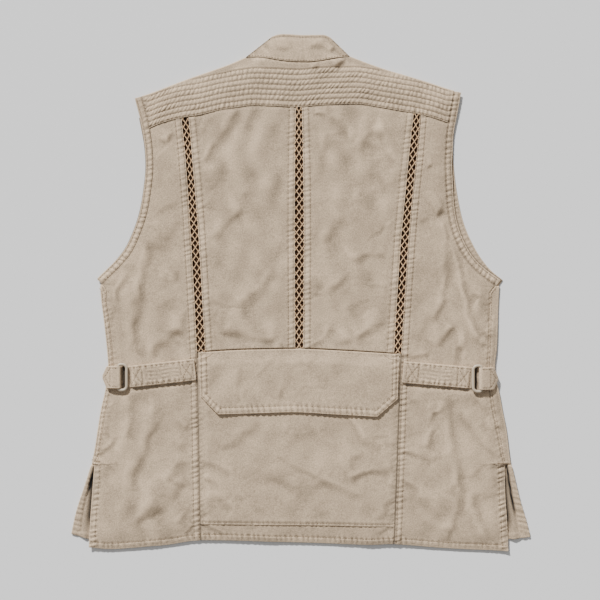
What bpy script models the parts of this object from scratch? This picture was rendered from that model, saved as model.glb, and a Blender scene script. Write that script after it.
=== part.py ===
"""A photographer vest of washed cotton, laid flat with its back up and its collar away from the hem.

Each cut piece is one closed solid. X runs across the back, Y runs from the hem to the collar and Z is up.
The fronts lie flat on the surface, and the back lies on them on one shared height.
Sizes and places are in millimetres, measured from the middle of the vest's box.
"""

import math

import bmesh
import bpy
import numpy as np

MM = 0.001

# Cloth and gaps
CLOTH = 1.4             # wall of one piece, with its turnings
LAYER_GAP = 0.4         # between the front and the back at a folded edge
SEAM_GAP = 0.3          # between two sewn pieces
STACK_GAP = 0.5         # between a piece and what lies on it
EDGE_TOP = 2 * CLOTH + LAYER_GAP
TURN = EDGE_TOP / 2     # outer radius of a fold round the side or the shoulder
RISE = 5.0              # how far the middle of the back stands above its edges
SOFT = 40.0             # distance over which the back rises from an edge

# Trims
BAND_WIDTH = 10.5       # armhole band
FRONT_REACH = 25.0      # how far the yoke comes over the shoulder to the front
FRONT_YOKE_GAP = 1.5    # the yoke's hidden front edge is straight, and the front stays clear of it
QUILT_ROWS = 8          # stitched channels of the yoke
QUILT_RISE = 0.7        # how far a channel stands above its stitch lines
VENT_LAP = 3.0          # how far a vent's lining reaches under the cloth beside it
NET_WALL = 1.0
NET_MARGIN = 0.7        # solid selvedge of the net
NET_STRAND = 1.5
NET_CELL = 11.9         # height of one diamond cell
STRAP_WALL = 2.0
STRAP_TIP = 1.2         # a strap's end where it passes under the ring
STRAP_DIP = 4.0         # distance from the ring's bar at which the strap goes down to pass under it
STRAP_SPAN = 0.93       # share of the strap's length that has even columns
TAB_WALL = 1.2
TAB_POINT = 6.0         # length of a tab's pointed end
TAB_TIP = 0.5           # blunt end of the point
TAB_TIP_SHARE = 0.12    # width of the blunt end as a share of the tab's width
RING_WIRE = 4.2
RING_HEIGHT = 41.0
RING_GAP = 6.0          # open space between a tab and the ring's outer bar
RING_CORNER = 6.0
FLAP_LIFT = 1.5         # how far the flap's lower edge stands up
POUCH_PUFF = 2.0        # how far the pouch swells between its seams
POUCH_TOP = -93.0       # hidden mouth of the pouch, under the flap
FLAP_CLEAR = -185.0     # the pouch has folds only below this line, clear of the flap

# Columns: x, y. Shoulder fold from the neck point to the armhole tip.
SHOULDER_LEFT = [(-80, 338.5), (-102, 329), (-131, 318.5), (-160, 308.5), (-188, 298), (-217, 287), (-239, 280)]
SHOULDER_RIGHT = [(71, 340), (100, 329), (128, 319.5), (157, 311), (186, 302), (215, 292.5), (230.5, 288)]

# Columns: x, y. Seam between the yoke and the collar, and the collar's folded outline above it.
COLLAR_SEAM = [(-80, 338.5), (-59, 338.5), (-44, 336), (-30, 333.5), (-15, 332), (0, 331.5), (14, 331.5),
               (28, 333), (42, 335.5), (58, 338.5), (71, 340)]
COLLAR_TOP = [(-43, 367.5), (-33, 371), (-15, 371.5), (0, 370.5), (20, 370.5), (31, 370), (39, 367)]

# Columns: share of the way from the middle to the neck point, y. Hidden front neckline and collar's front edge.
NECKLINE = [(1.0, 339), (0.98, 312), (0.82, 293), (0.5, 280), (0, 275)]
COLLAR_FRONT = [(0.53, 367.5), (0.44, 352), (0.32, 342), (0.16, 333), (0, 325)]

# Columns: x, y. Armhole edge of the back from the shoulder tip to the underarm.
ARMHOLE_LEFT = [(-239, 280), (-231.5, 251), (-228, 235), (-224, 206), (-223, 177), (-226, 148), (-231, 119),
                (-240, 90.5), (-254, 61.5), (-265.5, 47.5), (-280, 33), (-293, 20.5)]
ARMHOLE_RIGHT = [(230.5, 288), (224.5, 255), (219.5, 227), (218.5, 206), (217.5, 184), (218.5, 162),
                 (220, 134), (224, 105), (233.5, 76), (251, 47.5), (265, 34.5), (287, 18.5)]

# Columns: x, y. Armhole edge of the front, which shows outside the back on the right.
FRONT_ARMHOLE_LEFT = [(-233, 252), (-225, 206), (-224, 177), (-227, 148), (-232, 119), (-241, 90.5),
                      (-255, 61.5), (-266, 47.5), (-280, 33), (-292, 20.5)]
FRONT_ARMHOLE_RIGHT = [(224, 262), (219, 206), (222, 162.5), (226.5, 134), (233, 105), (244.5, 76),
                       (261, 47.5), (273, 33), (290.5, 18.5)]

# Columns: y, fold at the side, seam between the front and the back beside that fold
SIDE_LEFT = [(7, -288.5, -281), (-13, -287, -279.5), (-36, -284, -276), (-58, -281.5, -273.5),
             (-82, -279, -271), (-106, -277.5, -269.5), (-140, -281.5, -273.5), (-169, -288, -280),
             (-197, -292.5, -284.5), (-226, -297, -289), (-241, -300, -292)]
SIDE_RIGHT = [(4, 285.5, 274), (-13, 284.5, 272.5), (-46, 283.5, 271.5), (-82, 282, 270.5),
              (-105, 279.5, 269), (-124, 281, 269.5), (-143, 285.5, 272.5), (-169, 290.5, 276.5),
              (-197, 296, 282.5), (-226, 299.5, 288), (-241, 301.5, 291)]

# Columns: x, y. Edge of the back and of the front along the side slit, down to the hem.
SLIT_BACK_LEFT = [(-297, -246), (-300, -284), (-303, -327), (-305, -366)]
SLIT_BACK_RIGHT = [(293, -246), (294.5, -298), (296.5, -327), (298.5, -371.5)]
SLIT_FRONT_LEFT = [(-300.5, -243), (-311.5, -280), (-322.5, -313), (-330.3, -347)]
SLIT_FRONT_RIGHT = [(302, -243), (308, -270), (315, -298), (324, -327), (330.3, -351)]

# Columns: x, y. Lower edge of the back and of the front, from left to right.
HEM_BACK = [(-305, -366), (-275, -368.5), (-246, -367), (-217, -364.5), (-188, -362), (-162, -357.5),
            (-144, -356), (-116, -356), (-44, -358), (0, -359), (56, -361), (100, -362.5), (135, -361.5),
            (157, -363), (186, -365.5), (215, -367.5), (244, -369), (272, -370), (298.5, -371.5)]
HEM_FRONT = [(0, -350), (150, -351), (305, -354), (330.3, -351)]

# Columns: x, y. Seam between the yoke and the back.
YOKE_SEAM = [(-219, 236), (-203, 242.5), (-174, 250.5), (-145, 255), (-116, 262), (-88, 266.5),
             (-73, 268.5), (-44, 268), (0, 266.5), (28, 269), (56, 270), (85, 270.5), (114, 266),
             (143, 261), (172, 256), (200, 248), (210, 244.5)]

# Columns: x, y. Waist seam, where the flap is sewn in.
WAIST_SEAM = [(-149, -84), (-86, -80.5), (-41, -79.5), (0, -79), (46, -81), (90, -83.5), (144, -87)]

# Columns: y, left edge, right edge. Vents from the yoke to the waist.
VENTS = {
    "left": [(250, -171, -161), (206, -166.5, -157), (134, -161, -151), (76, -157.5, -146.5),
             (18, -154, -143), (-84, -149, -137.5)],
    "center": [(267, -7, 1.5), (206, -8, 3), (134, -8.5, 4), (-79, -8, 3.5)],
    "right": [(256, 162, 171), (206, 156.5, 167), (134, 149.5, 159.5), (76, 144, 154.5),
              (18, 140, 150.5), (-86, 134, 144)],
}

# Columns: y, x. Seams beside the lower middle of the back.
PRINCESS_LEFT = [(-84, -149), (-356, -144)]
PRINCESS_RIGHT = [(-87, 144), (-361.5, 134)]

# Columns: x, y. Pouch edge near the hem, and the flap's outline below the waist seam.
POUCH_BOTTOM = [(-144.5, -332.5), (0, -334), (134.5, -336)]
FLAP_SIDE_LEFT = [(-146, -85.5), (-144.5, -148)]
FLAP_SIDE_RIGHT = [(141, -88), (139.5, -152)]
FLAP_BOTTOM = [(-144.5, -148), (-119, -174), (-64, -172.5), (-10, -171), (46, -174), (110, -177.5), (139.5, -152)]

# Columns: x and y at the princess seam, x and y at the ring, width. Middle line of each waist strap.
STRAPS = {
    "left": (-151.5, -110.0, -247.0, -120.5, 31.0),
    "right": (146.5, -113.5, 245.5, -122.0, 31.0),
}

# Columns: x of the ring's outer bar, y of its middle, x of the tab's point, which way is outward
RINGS = {
    "left": (-249.5, -121.0, -285.0, -1.0),
    "right": (247.0, -123.0, 283.5, 1.0),
}
TAB_WIDTH = 31.5

# Columns: x and y at one end, x and y at the other, width, height (below 0 for a trough)
FOLDS = [
    (-221.5, 59, -234.5, -78, 7, -2.2),
    (-239, 50, -255, -72, 10, 2.0),
    (-167, -53, -207, -80, 6, -1.5),
    (-162.5, -269.5, -249, -337, 8, -2.5),
    (-174, -248, -239, -305, 11, 1.8),
    (-210, -180, -236, -245, 8, -1.6),
    (-99, 250, -135, 191, 6, -2.0),
    (-242, 217, -213, 240, 6, -1.2),
    (-40, 28.5, -112, -25, 11, -1.8),
    (66, 100, 27, 72, 10, -1.5),
    (124, -49, 85, -68, 9, -1.6),
    (71, 0, 17, -63, 14, 1.6),
    (204.5, 102, 210.5, 54, 8, -2.0),
    (210.5, 54, 196, -39, 8, -2.2),
    (233, 20, 239, -60, 10, 1.6),
    (157, -274, 205, -317, 8, -2.0),
    (218, -158, 233.5, -280, 9, -1.8),
    (125.5, -255, 71, -265, 7, -1.6),
    (23, -269.5, 85, -288, 9, -1.6),
]
FOLD_FADE = 12.0        # a fold dies away over this distance from a seam

# Columns: colour, roughness, metallic
COTTON = ((0.50, 0.43, 0.35, 1.0), 0.9, 0.0)
NET_THREAD = ((0.60, 0.47, 0.32, 1.0), 0.8, 0.0)
DARK_LINING = ((0.03, 0.015, 0.008, 1.0), 0.95, 0.0)
RING_PLASTIC = ((0.58, 0.52, 0.44, 1.0), 0.45, 0.0)


def unit(vectors):
    """Vectors scaled to a length of 1."""
    vectors = np.asarray(vectors, float)
    return vectors / np.linalg.norm(vectors, axis=-1, keepdims=True)


def spread(table, count):
    """Points at equal distances along the table's line, one more than count."""
    points = np.asarray(table, float)
    run = np.append(0, np.cumsum(np.linalg.norm(np.diff(points, axis=0), axis=1)))
    at = np.linspace(0, run[-1], count + 1)
    return np.stack([np.interp(at, run, points[:, axis]) for axis in range(points.shape[1])], axis=1)


def by_height(table, y, column=1):
    """Value of a column of a table whose first column is y."""
    rows = np.asarray(sorted(table), float)
    return np.interp(y, rows[:, 0], rows[:, column])


def by_width(table, x):
    """Height of a line whose columns are x and y."""
    rows = np.asarray(sorted(table), float)
    return np.interp(x, rows[:, 0], rows[:, 1])


def turned_rows(table):
    """A line's rows with y first."""
    return [(y, x) for x, y in table]


COLLAR_SLOPE_LEFT = [(-80, 338.5), (-76, 341), (-43, 367.5), (-33, 371)]
COLLAR_SLOPE_RIGHT = [(71, 340), (39, 367), (31, 370)]
EDGE_LEFT = turned_rows(SLIT_BACK_LEFT + ARMHOLE_LEFT + SHOULDER_LEFT + COLLAR_SLOPE_LEFT)
EDGE_LEFT += [(y, fold) for y, fold, _seam in SIDE_LEFT]
EDGE_RIGHT = turned_rows(SLIT_BACK_RIGHT + ARMHOLE_RIGHT + SHOULDER_RIGHT + COLLAR_SLOPE_RIGHT)
EDGE_RIGHT += [(y, fold) for y, fold, _seam in SIDE_RIGHT]
EDGE_ABOVE = SHOULDER_LEFT + COLLAR_TOP + SHOULDER_RIGHT


def back_height(x, y):
    """Top of the back: its edges lie low, and it rises softly over a set distance from each edge."""
    from_edges = [
        x - by_height(EDGE_LEFT, y),
        by_height(EDGE_RIGHT, y) - x,
        by_width(EDGE_ABOVE, x) - y,
        y - by_width(HEM_BACK, x),
    ]
    share = np.clip((np.stack(from_edges) - TURN) / SOFT, 0, 1)
    return EDGE_TOP + RISE * np.prod(1 - (1 - share) ** 2, axis=0)


def fold_height(x, y):
    """Sum of the folds: each is a bell-shaped ridge or trough round the line between its ends."""
    total = np.zeros_like(x)
    for x0, y0, x1, y1, width, height in FOLDS:
        length2 = (x1 - x0) ** 2 + (y1 - y0) ** 2
        share = np.clip(((x - x0) * (x1 - x0) + (y - y0) * (y1 - y0)) / length2, 0, 1)
        away2 = (x - x0 - share * (x1 - x0)) ** 2 + (y - y0 - share * (y1 - y0)) ** 2
        total += height * np.exp(-away2 / width ** 2)
    return total


def patch(left, right, bottom, top, gap=SEAM_GAP / 2):
    """Grid of points between four edges, a blend of both rulings less the corners' own blend.

    left and right run upward, bottom and top run to the right, and each edge is drawn in by gap.
    """
    left, right, bottom, top = (np.array(edge, float) for edge in (left, right, bottom, top))
    across, up = unit(right - left), unit(top - bottom)
    left, right = left + gap * across, right - gap * across
    bottom, top = bottom + gap * up, top - gap * up
    for edge, first, last in ((bottom, left[0], right[0]), (top, left[-1], right[-1])):
        shift = np.linspace(0, 1, len(edge))[:, None]
        lift = gap * (1 if edge is bottom else -1) * np.array((0.0, 1.0))
        edge += (1 - shift) * (first + lift - edge[0]) + shift * (last + lift - edge[-1])
    left[0], right[0], left[-1], right[-1] = bottom[0], bottom[-1], top[0], top[-1]
    s = np.linspace(0, 1, len(bottom))[None, :, None]
    t = np.linspace(0, 1, len(left))[:, None, None]
    ruled = (1 - s) * left[:, None] + s * right[:, None] + (1 - t) * bottom[None] + t * top[None]
    corners = (1 - t) * ((1 - s) * left[0] + s * right[0]) + t * ((1 - s) * left[-1] + s * right[-1])
    return ruled - corners


def at_height(points, height):
    """Points with a third coordinate."""
    return np.dstack([points, np.broadcast_to(height, points.shape[:2])])


def fade(points):
    """1 in the middle of a grid and 0 at its edges."""
    s = np.linspace(0, 1, points.shape[1])[None, :]
    t = np.linspace(0, 1, points.shape[0])[:, None]
    wide = np.linalg.norm(points[:, -1] - points[:, 0], axis=1)[:, None]
    high = np.linalg.norm(points[-1] - points[0], axis=1)[None, :]
    nearest = np.minimum(np.minimum(s, 1 - s) * wide, np.minimum(t, 1 - t) * high)
    return np.clip(nearest / FOLD_FADE, 0, 1)


def back_skins(points, relief=0.0, folds=True):
    """Upper and lower skin of a piece of the back."""
    x, y = points[..., 0], points[..., 1]
    height = back_height(x, y)
    if folds:
        height = np.maximum(height + fade(points) * fold_height(x, y), EDGE_TOP)
    return at_height(points, height + relief), at_height(points, height - CLOTH)


def half_turn(edge, inward, steps):
    """Skins round a folded edge, from the surface below to the back above: two half circles."""
    angle = np.linspace(-math.pi / 2, math.pi / 2, steps + 1)[None, :, None]
    skins = []
    for radius in (TURN, TURN - CLOTH):
        flat = edge[:, None] + inward[:, None] * (TURN - radius * np.cos(angle))
        skins.append(np.concatenate([flat, TURN + radius * np.sin(angle) + 0 * flat[..., :1]], axis=2))
    return skins


def flat_skins(points):
    """Skins of cloth that lies on the surface."""
    return at_height(points, 0.0), at_height(points, CLOTH)


def material(name, finish):
    """One plain finish."""
    colour, roughness, metallic = finish
    made = bpy.data.materials.new(name)
    made.use_nodes = True
    shader = made.node_tree.nodes["Principled BSDF"]
    shader.inputs["Base Color"].default_value = colour
    shader.inputs["Roughness"].default_value = roughness
    shader.inputs["Metallic"].default_value = metallic
    made.diffuse_color = colour
    return made


def piece(name, data, finish):
    """An object in the vest's collection."""
    data.name = name
    data.materials.append(finish)
    made = bpy.data.objects.new(name, data)
    bpy.data.collections["vest"].objects.link(made)
    return made


def wall(name, outer, inner, finish, kept=None):
    """Closed wall between two grids of points; faces of the grid that aren't kept are left out."""
    rows, columns = outer.shape[:2]
    grid = bmesh.new()
    bmesh.ops.create_grid(grid, x_segments=columns - 1, y_segments=rows - 1, size=0.5)
    places = {}
    for vertex in grid.verts:
        column = round((vertex.co.x + 0.5) * (columns - 1))
        row = round((vertex.co.y + 0.5) * (rows - 1))
        places[vertex] = (row, column)
    if kept is not None:
        dropped = []
        for face in grid.faces:
            row = min(places[vertex][0] for vertex in face.verts)
            column = min(places[vertex][1] for vertex in face.verts)
            if not kept[row, column]:
                dropped.append(face)
        bmesh.ops.delete(grid, geom=dropped, context="FACES")
    for vertex in grid.verts:
        vertex.co = (*places[vertex], 0.0)
    lower = set(grid.verts)
    bmesh.ops.extrude_face_region(grid, geom=grid.faces[:], use_keep_orig=True)
    for vertex in grid.verts:
        row, column = round(vertex.co.x), round(vertex.co.y)
        skin = inner if vertex in lower else outer
        vertex.co = skin[row, column] * MM
    bmesh.ops.recalc_face_normals(grid, faces=grid.faces[:])
    data = bpy.data.meshes.new(name)
    grid.to_mesh(data)
    grid.free()
    return piece(name, data, finish)


def seam_points(first, last):
    """Points of the yoke seam, one for each column of the panels under it; every second lies on a chord."""
    edges = [first[0]]
    for side in ("left", "center", "right"):
        edges += [by_height(VENTS[side], 300, 1), by_height(VENTS[side], 300, 2)]
    edges.append(last[0])
    stations = []
    for index, columns in enumerate(SEAM_COLUMNS):
        stations += list(np.linspace(edges[index], edges[index + 1], columns + 1))[:-1]
    stations.append(edges[-1])
    points = np.array([(x, by_width(YOKE_SEAM, x)) for x in stations])
    points[0], points[-1] = first, last
    points[1:-1:2] = (points[0:-2:2] + points[2::2]) / 2
    return points


SIDE_COLUMNS = 6
UPPER_COLUMNS = 7
SEAM_COLUMNS = (SIDE_COLUMNS, 1, UPPER_COLUMNS, 2, UPPER_COLUMNS, 1, SIDE_COLUMNS)
YOKE_ROWS = 2
ARMHOLE_ROWS = 10
SEAM_ROWS = 12
SLIT_ROWS = 6
UPPER_ROWS = 17
POUCH_ROWS = 9
POUCH_COLUMNS = 12
HEM_ROWS = 2
NECK_COLUMNS = 10
COLLAR_ROWS = 4
FLAP_ROWS = 5
FLAP_COLUMNS = 10
STRAP_COLUMNS = 9
STRAP_ROWS = 3
TAB_STEPS = 5
TAB_TURN_STEPS = 6
CORNER_STEPS = 3
TURN_STEPS = 4


def column_range(index):
    """First and last point of one panel's run on the yoke seam."""
    first = sum(SEAM_COLUMNS[:index])
    return first, first + SEAM_COLUMNS[index] + 1


def band_lines(armhole, seam_y, outward):
    """Outer and inner line of an armhole band, the inner one set off square to the edge.

    Its first rows run beside the yoke, down to seam_y, and the others beside the side back.
    """
    above = [row for row in armhole if row[1] > seam_y]
    below = [row for row in armhole if row[1] < seam_y]
    share = (above[-1][1] - seam_y) / (above[-1][1] - below[0][1])
    split = (above[-1][0] + share * (below[0][0] - above[-1][0]), seam_y)
    outer = np.vstack([spread(above + [split], YOKE_ROWS), spread([split] + below, ARMHOLE_ROWS)[1:]])
    along = np.gradient(outer, axis=0)
    square = unit(np.stack([along[:, 1], -along[:, 0]], axis=1)) * outward
    return outer, outer + BAND_WIDTH * square


def neck_points():
    """Points of the seam between the yoke and the collar; every second lies on a chord."""
    points = spread(COLLAR_SEAM, NECK_COLUMNS)
    points[1:-1:2] = (points[0:-2:2] + points[2::2]) / 2
    return points


def neckline(side):
    """Points of the hidden front neckline, from the neck point to the middle."""
    neck = COLLAR_SEAM[0 if side < 0 else -1][0]
    return np.array([(share * neck, y) for share, y in NECKLINE])


def make_collar(cotton):
    """One band, folded flat at both sides: its back lies on its two front ends."""
    rise = np.linspace(0, 1, COLLAR_ROWS + 1)[:, None]
    seam, top = neck_points() + (0, SEAM_GAP / 2), spread(COLLAR_TOP, NECK_COLUMNS)
    folds = {}
    for side, end, near in ((-1, 0, 1), (1, -1, -2)):
        line = seam[end] + rise * (top[end] - seam[end])
        slope = unit(top[end] - seam[end])
        inward = np.tile(np.array((slope[1], -slope[0])) * -side, (COLLAR_ROWS + 1, 1))
        inward[0] = unit(seam[near] - seam[end])
        folds[side] = (line, inward)
    starts = folds[-1][0] + TURN * folds[-1][1]
    ends = folds[1][0] + TURN * folds[1][1]
    middle = patch(starts, ends, np.vstack([starts[0], seam[1:-1], ends[0]]),
                   np.vstack([starts[-1], top[1:-1], ends[-1]]), 0.0)
    upper = back_skins(middle, folds=False)
    outer, inner = [upper[0]], [upper[1]]
    for side in (-1, 1):
        line, inward = folds[side]
        low = neckline(side)
        high = np.array([(share * seam[0 if side < 0 else -1, 0], y) for share, y in COLLAR_FRONT])
        start = line + TURN * inward
        low[0], high[0] = start[0], start[-1]
        low[-1, 0] = high[-1, 0] = side * SEAM_GAP / 2
        end = low[-1] + rise * (high[-1] - low[-1])
        ends_flat = flat_skins(patch(start, end, low, high, 0.0))
        turn = half_turn(line, inward, TURN_STEPS)
        for stack, flat, curl in zip((outer, inner), ends_flat, turn):
            strip = np.concatenate([flat[:, :0:-1], curl[:, :-1]], axis=1)
            if side < 0:
                stack.insert(0, strip)
            else:
                stack.append(strip[:, ::-1])
    wall("collar", np.concatenate(outer, axis=1), np.concatenate(inner, axis=1), cotton)


def make_yoke(cotton, seam, bands):
    """Quilted yoke: parallel channels stand above their stitch lines, and it turns over the shoulders."""
    bottom = seam[::2]
    columns = len(bottom) - 1
    neck = (columns - NECK_COLUMNS // 2) // 2
    shoulder_left = spread([bands["left"][1][0]] + SHOULDER_LEFT[-2::-1], neck)
    shoulder_right = spread(SHOULDER_RIGHT[:-1] + [bands["right"][1][0]], neck)
    top = np.vstack([shoulder_left, neck_points()[2:-2:2], shoulder_right])
    rows = 2 * QUILT_ROWS
    half = rows // YOKE_ROWS
    left, right = (
        np.vstack([between(line[k:k + 1], line[k - 1:k], half)[:-1, 0] for k in range(YOKE_ROWS, 0, -1)] + [line[:1]])
        for line in (bands["left"][1], bands["right"][1])
    )
    over = np.ones(columns + 1, bool)
    over[neck + 1:columns - neck] = False
    edge = top.copy()
    inward = np.tile((0.0, -1.0), (columns + 1, 1))
    top[over] += TURN * inward[over]
    top[~over] -= (0, SEAM_GAP / 2)
    points = patch(left, right, bottom, top)
    points[-1] = top
    for column, line, sign in ((0, bands["left"][1], 1), (-1, bands["right"][1], -1)):
        drop = TURN / (line[0, 1] - line[1, 1])
        points[-1, column] = line[0] + drop * (line[1] - line[0]) + (sign * SEAM_GAP / 2, 0)
    ridge = np.zeros((rows + 1, columns + 1))
    ridge[1:-1:2] = QUILT_RISE
    upper = back_skins(points, relief=ridge, folds=False)
    edge[0], edge[-1] = points[-1, 0] - TURN * inward[0], points[-1, -1] - TURN * inward[-1]
    turn = half_turn(edge, inward, TURN_STEPS)
    reach = edge[None] + inward[None] * np.array((FRONT_REACH, FRONT_REACH / 2))[:, None, None]
    for first, last in ((0, neck), (columns - neck, columns)):
        run = reach[0, first:last + 1]
        run[:, 1] = np.interp(run[:, 0], run[[0, -1], 0], run[[0, -1], 1])
    outer, inner = [], []
    for stack, low, curl, high in zip((outer, inner), flat_skins(reach), turn, upper):
        stack += [low, np.transpose(curl, (1, 0, 2))[:-1], high[::-1]]
    kept = np.ones((rows + TURN_STEPS + 2, columns), bool)
    kept[:TURN_STEPS + 2, neck:columns - neck] = False
    wall("yoke", np.concatenate(outer), np.concatenate(inner), cotton, kept)


def make_upper_back(side, cotton, seam, index):
    """Upper centre back, between the middle vent and a side vent."""
    first, last = column_range(index)
    top = seam[first:last]
    inner_vent, outer_vent = ("left", "center") if side == "left" else ("center", "right")
    ends = top[0, 1], top[-1, 1]
    edges = []
    for vent, column, high in ((inner_vent, 2, ends[0]), (outer_vent, 1, ends[1])):
        x_low = by_height(VENTS[vent], -90, column)
        rows = np.linspace(by_width(WAIST_SEAM, x_low), high, UPPER_ROWS + 1)
        edges.append(np.stack([by_height(VENTS[vent], rows, column), rows], axis=1))
    edges[0][-1], edges[1][-1] = top[0], top[-1]
    x = np.linspace(edges[0][0, 0], edges[1][0, 0], len(top))
    bottom = np.stack([x, by_width(WAIST_SEAM, x)], axis=1)
    outer, inner = back_skins(patch(*edges, bottom, top))
    wall(f"back_upper_{side}", outer, inner, cotton)


def side_edge(side, band_inner):
    """Outer edge of a side back from the hem up: slit, side seam, then the armhole band's inner line."""
    slit = SLIT_BACK_LEFT if side == "left" else SLIT_BACK_RIGHT
    return np.vstack([spread(slit[::-1], SLIT_ROWS), side_seam(side)[::-1], band_inner[YOKE_ROWS:-1][::-1]])


def side_seam(side):
    """Points of the side seam from the underarm down, shared by the side back and the front."""
    table = SIDE_LEFT if side == "left" else SIDE_RIGHT
    return spread([(seam, y) for y, _fold, seam in table], SEAM_ROWS)


def side_fold(side):
    """Points of the side fold, one beside each point of the side seam."""
    table = SIDE_LEFT if side == "left" else SIDE_RIGHT
    y = side_seam(side)[:, 1]
    return np.stack([by_height(table, y), y], axis=1)


def make_side_back(side, cotton, seam, index, band_inner):
    """Side back, from the yoke to the hem."""
    first, last = column_range(index)
    top = seam[first:last]
    vent = VENTS[side]
    princess = PRINCESS_LEFT if side == "left" else PRINCESS_RIGHT
    column = 1 if side == "left" else 2
    outward = -1 if side == "left" else 1
    outer_edge = side_edge(side, band_inner)
    rows = outer_edge[:, 1].copy()
    hem = by_height(princess, -400)
    low = by_width(HEM_BACK, hem)
    high = top[-1 if side == "left" else 0, 1]
    inner_rows = low + (rows - rows[0]) / (rows[-1] - rows[0]) * (high - low)
    x = np.where(inner_rows > princess[0][0], by_height(vent, inner_rows, column), by_height(princess, inner_rows))
    inner_edge = np.stack([x, inner_rows], axis=1)
    x = np.linspace(outer_edge[0, 0], inner_edge[0, 0], len(top))
    bottom = np.stack([x, by_width(HEM_BACK, x)], axis=1)
    if outward < 0:
        edges = (outer_edge, inner_edge, bottom, top)
    else:
        edges = (inner_edge, outer_edge, bottom[::-1], top)
    edges[0][-1], edges[1][-1] = top[0], top[-1]
    outer, inner = back_skins(patch(*edges))
    wall(f"back_side_{side}", outer, inner, cotton)


def make_bands(side, cotton, back_lines, front_lines):
    """Armhole bands of the back and of the front."""
    for layer, (edge, inner_line) in (("back", back_lines), ("front", front_lines)):
        square = unit(inner_line - edge)
        lines = np.stack([edge, inner_line - SEAM_GAP / 2 * square], axis=1)
        if layer == "back":
            skins = back_skins(lines, folds=False)
        else:
            skins = flat_skins(lines)
        wall(f"armhole_band_{layer}_{side}", *skins, cotton)


def shoulder_reach(shoulder, x):
    """Height of the front's upper edge, straight below the yoke's front edge."""
    (x0, y0), (x1, y1) = shoulder[0], shoulder[-1]
    return y0 + (x - x0) / (x1 - x0) * (y1 - y0) - FRONT_REACH - FRONT_YOKE_GAP


def make_front(side, cotton, front_lines):
    """Front: flat on the surface, and folded round the side up to the side seam on the back."""
    outward = -1 if side == "left" else 1
    fold, seam = side_fold(side), side_seam(side)
    slit = spread((SLIT_FRONT_LEFT if side == "left" else SLIT_FRONT_RIGHT)[::-1], SLIT_ROWS)
    inward = np.tile((-float(outward), 0.0), (SEAM_ROWS + 1, 1))
    edge = np.vstack([slit, (fold + TURN * inward)[::-1], front_lines[1][:-1][::-1]])
    edge[-1, 0] = front_lines[1][0, 0]
    rows = len(edge)
    shoulder = SHOULDER_LEFT if side == "left" else SHOULDER_RIGHT
    edge[-1, 1] = shoulder_reach(shoulder, edge[-1, 0])
    start = (shoulder[0][0], shoulder_reach(shoulder, shoulder[0][0]))
    top = np.vstack([neckline(outward)[:0:-1] - (0, SEAM_GAP), spread([start, tuple(edge[-1])], 2)])
    hem = spread([(outward * x, y) for x, y in HEM_FRONT[:-1]] + [tuple(slit[0])], len(top) - 1)
    middle = np.linspace(hem[0, 1], top[0, 1], rows)
    center = np.stack([np.full(rows, outward * SEAM_GAP / 2), middle], axis=1)
    hem[0], top[0] = center[0], center[-1]
    plate = patch(center, edge, hem, top, 0.0)
    flat = flat_skins(plate)
    turn = half_turn(fold, inward, TURN_STEPS)
    strip_points = np.stack([fold + TURN * inward, seam - SEAM_GAP / 2 * inward], axis=1)
    strip = back_skins(strip_points, folds=False)
    first = SLIT_ROWS + 1
    outer, inner = [], []
    for stack, low, curl, high in zip((outer, inner), flat, turn, strip):
        wrap = np.zeros((rows, TURN_STEPS + 1, 3))
        wrap[first:first + SEAM_ROWS + 1] = np.concatenate([curl[:, 1:], high[:, 1:]], axis=1)[::-1]
        stack.append(np.concatenate([low, wrap], axis=1))
    kept = np.ones((rows - 1, outer[0].shape[1] - 1), bool)
    wrapped = np.zeros(rows - 1, bool)
    wrapped[first:first + SEAM_ROWS] = True
    kept[~wrapped, plate.shape[1] - 1:] = False
    wall(f"front_{side}", outer[0], inner[0], cotton, kept)


def between(low, high, rows):
    """Rows of points from one line to another."""
    share = np.linspace(0, 1, rows + 1)[:, None, None]
    return low[None] + share * (high - low)[None]


def lower_back_points():
    """Grid of the lower centre back: its rows pass along the hem, the pouch's edge, its mouth and the waist."""
    stations = np.linspace(PRINCESS_LEFT[-1][1], PRINCESS_RIGHT[-1][1], POUCH_COLUMNS + 1)
    lines = []
    for line in (HEM_BACK, POUCH_BOTTOM, [(0, POUCH_TOP)], WAIST_SEAM):
        lines.append(np.stack([stations, by_width(line, stations) - SEAM_GAP / 2], axis=1))
    hem, edge, mouth, waist = lines
    grid = np.concatenate([between(hem, edge, HEM_ROWS)[:-1], between(edge, mouth, POUCH_ROWS), waist[None]])
    left = by_height(PRINCESS_LEFT, grid[..., 1]) + SEAM_GAP / 2
    right = by_height(PRINCESS_RIGHT, grid[..., 1]) - SEAM_GAP / 2
    grid[..., 0] = left + np.linspace(0, 1, POUCH_COLUMNS + 1) * (right - left)
    grid[-1, :, 1] = by_width(WAIST_SEAM, grid[-1, :, 0]) - SEAM_GAP / 2
    return grid


def make_lower_back(cotton):
    """Base of the lower centre back, and the pouch made from its points, moved up."""
    points = lower_back_points()
    pouch_points = points[HEM_ROWS:-1]
    outer, inner = back_skins(points, folds=False)
    wall("back_lower", outer, inner, cotton)
    under = outer[HEM_ROWS:-1, :, 2] + SEAM_GAP
    x, y = pouch_points[..., 0], pouch_points[..., 1]
    below_flap = np.clip((FLAP_CLEAR - y) / FOLD_FADE, 0, 1)
    folds = below_flap * fade(pouch_points) * fold_height(x, y)
    rise = np.maximum(pouch_puff(x, y) + folds, 0)
    wall("pouch_pocket", at_height(pouch_points, under + CLOTH + rise), at_height(pouch_points, under + rise), cotton)


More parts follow.
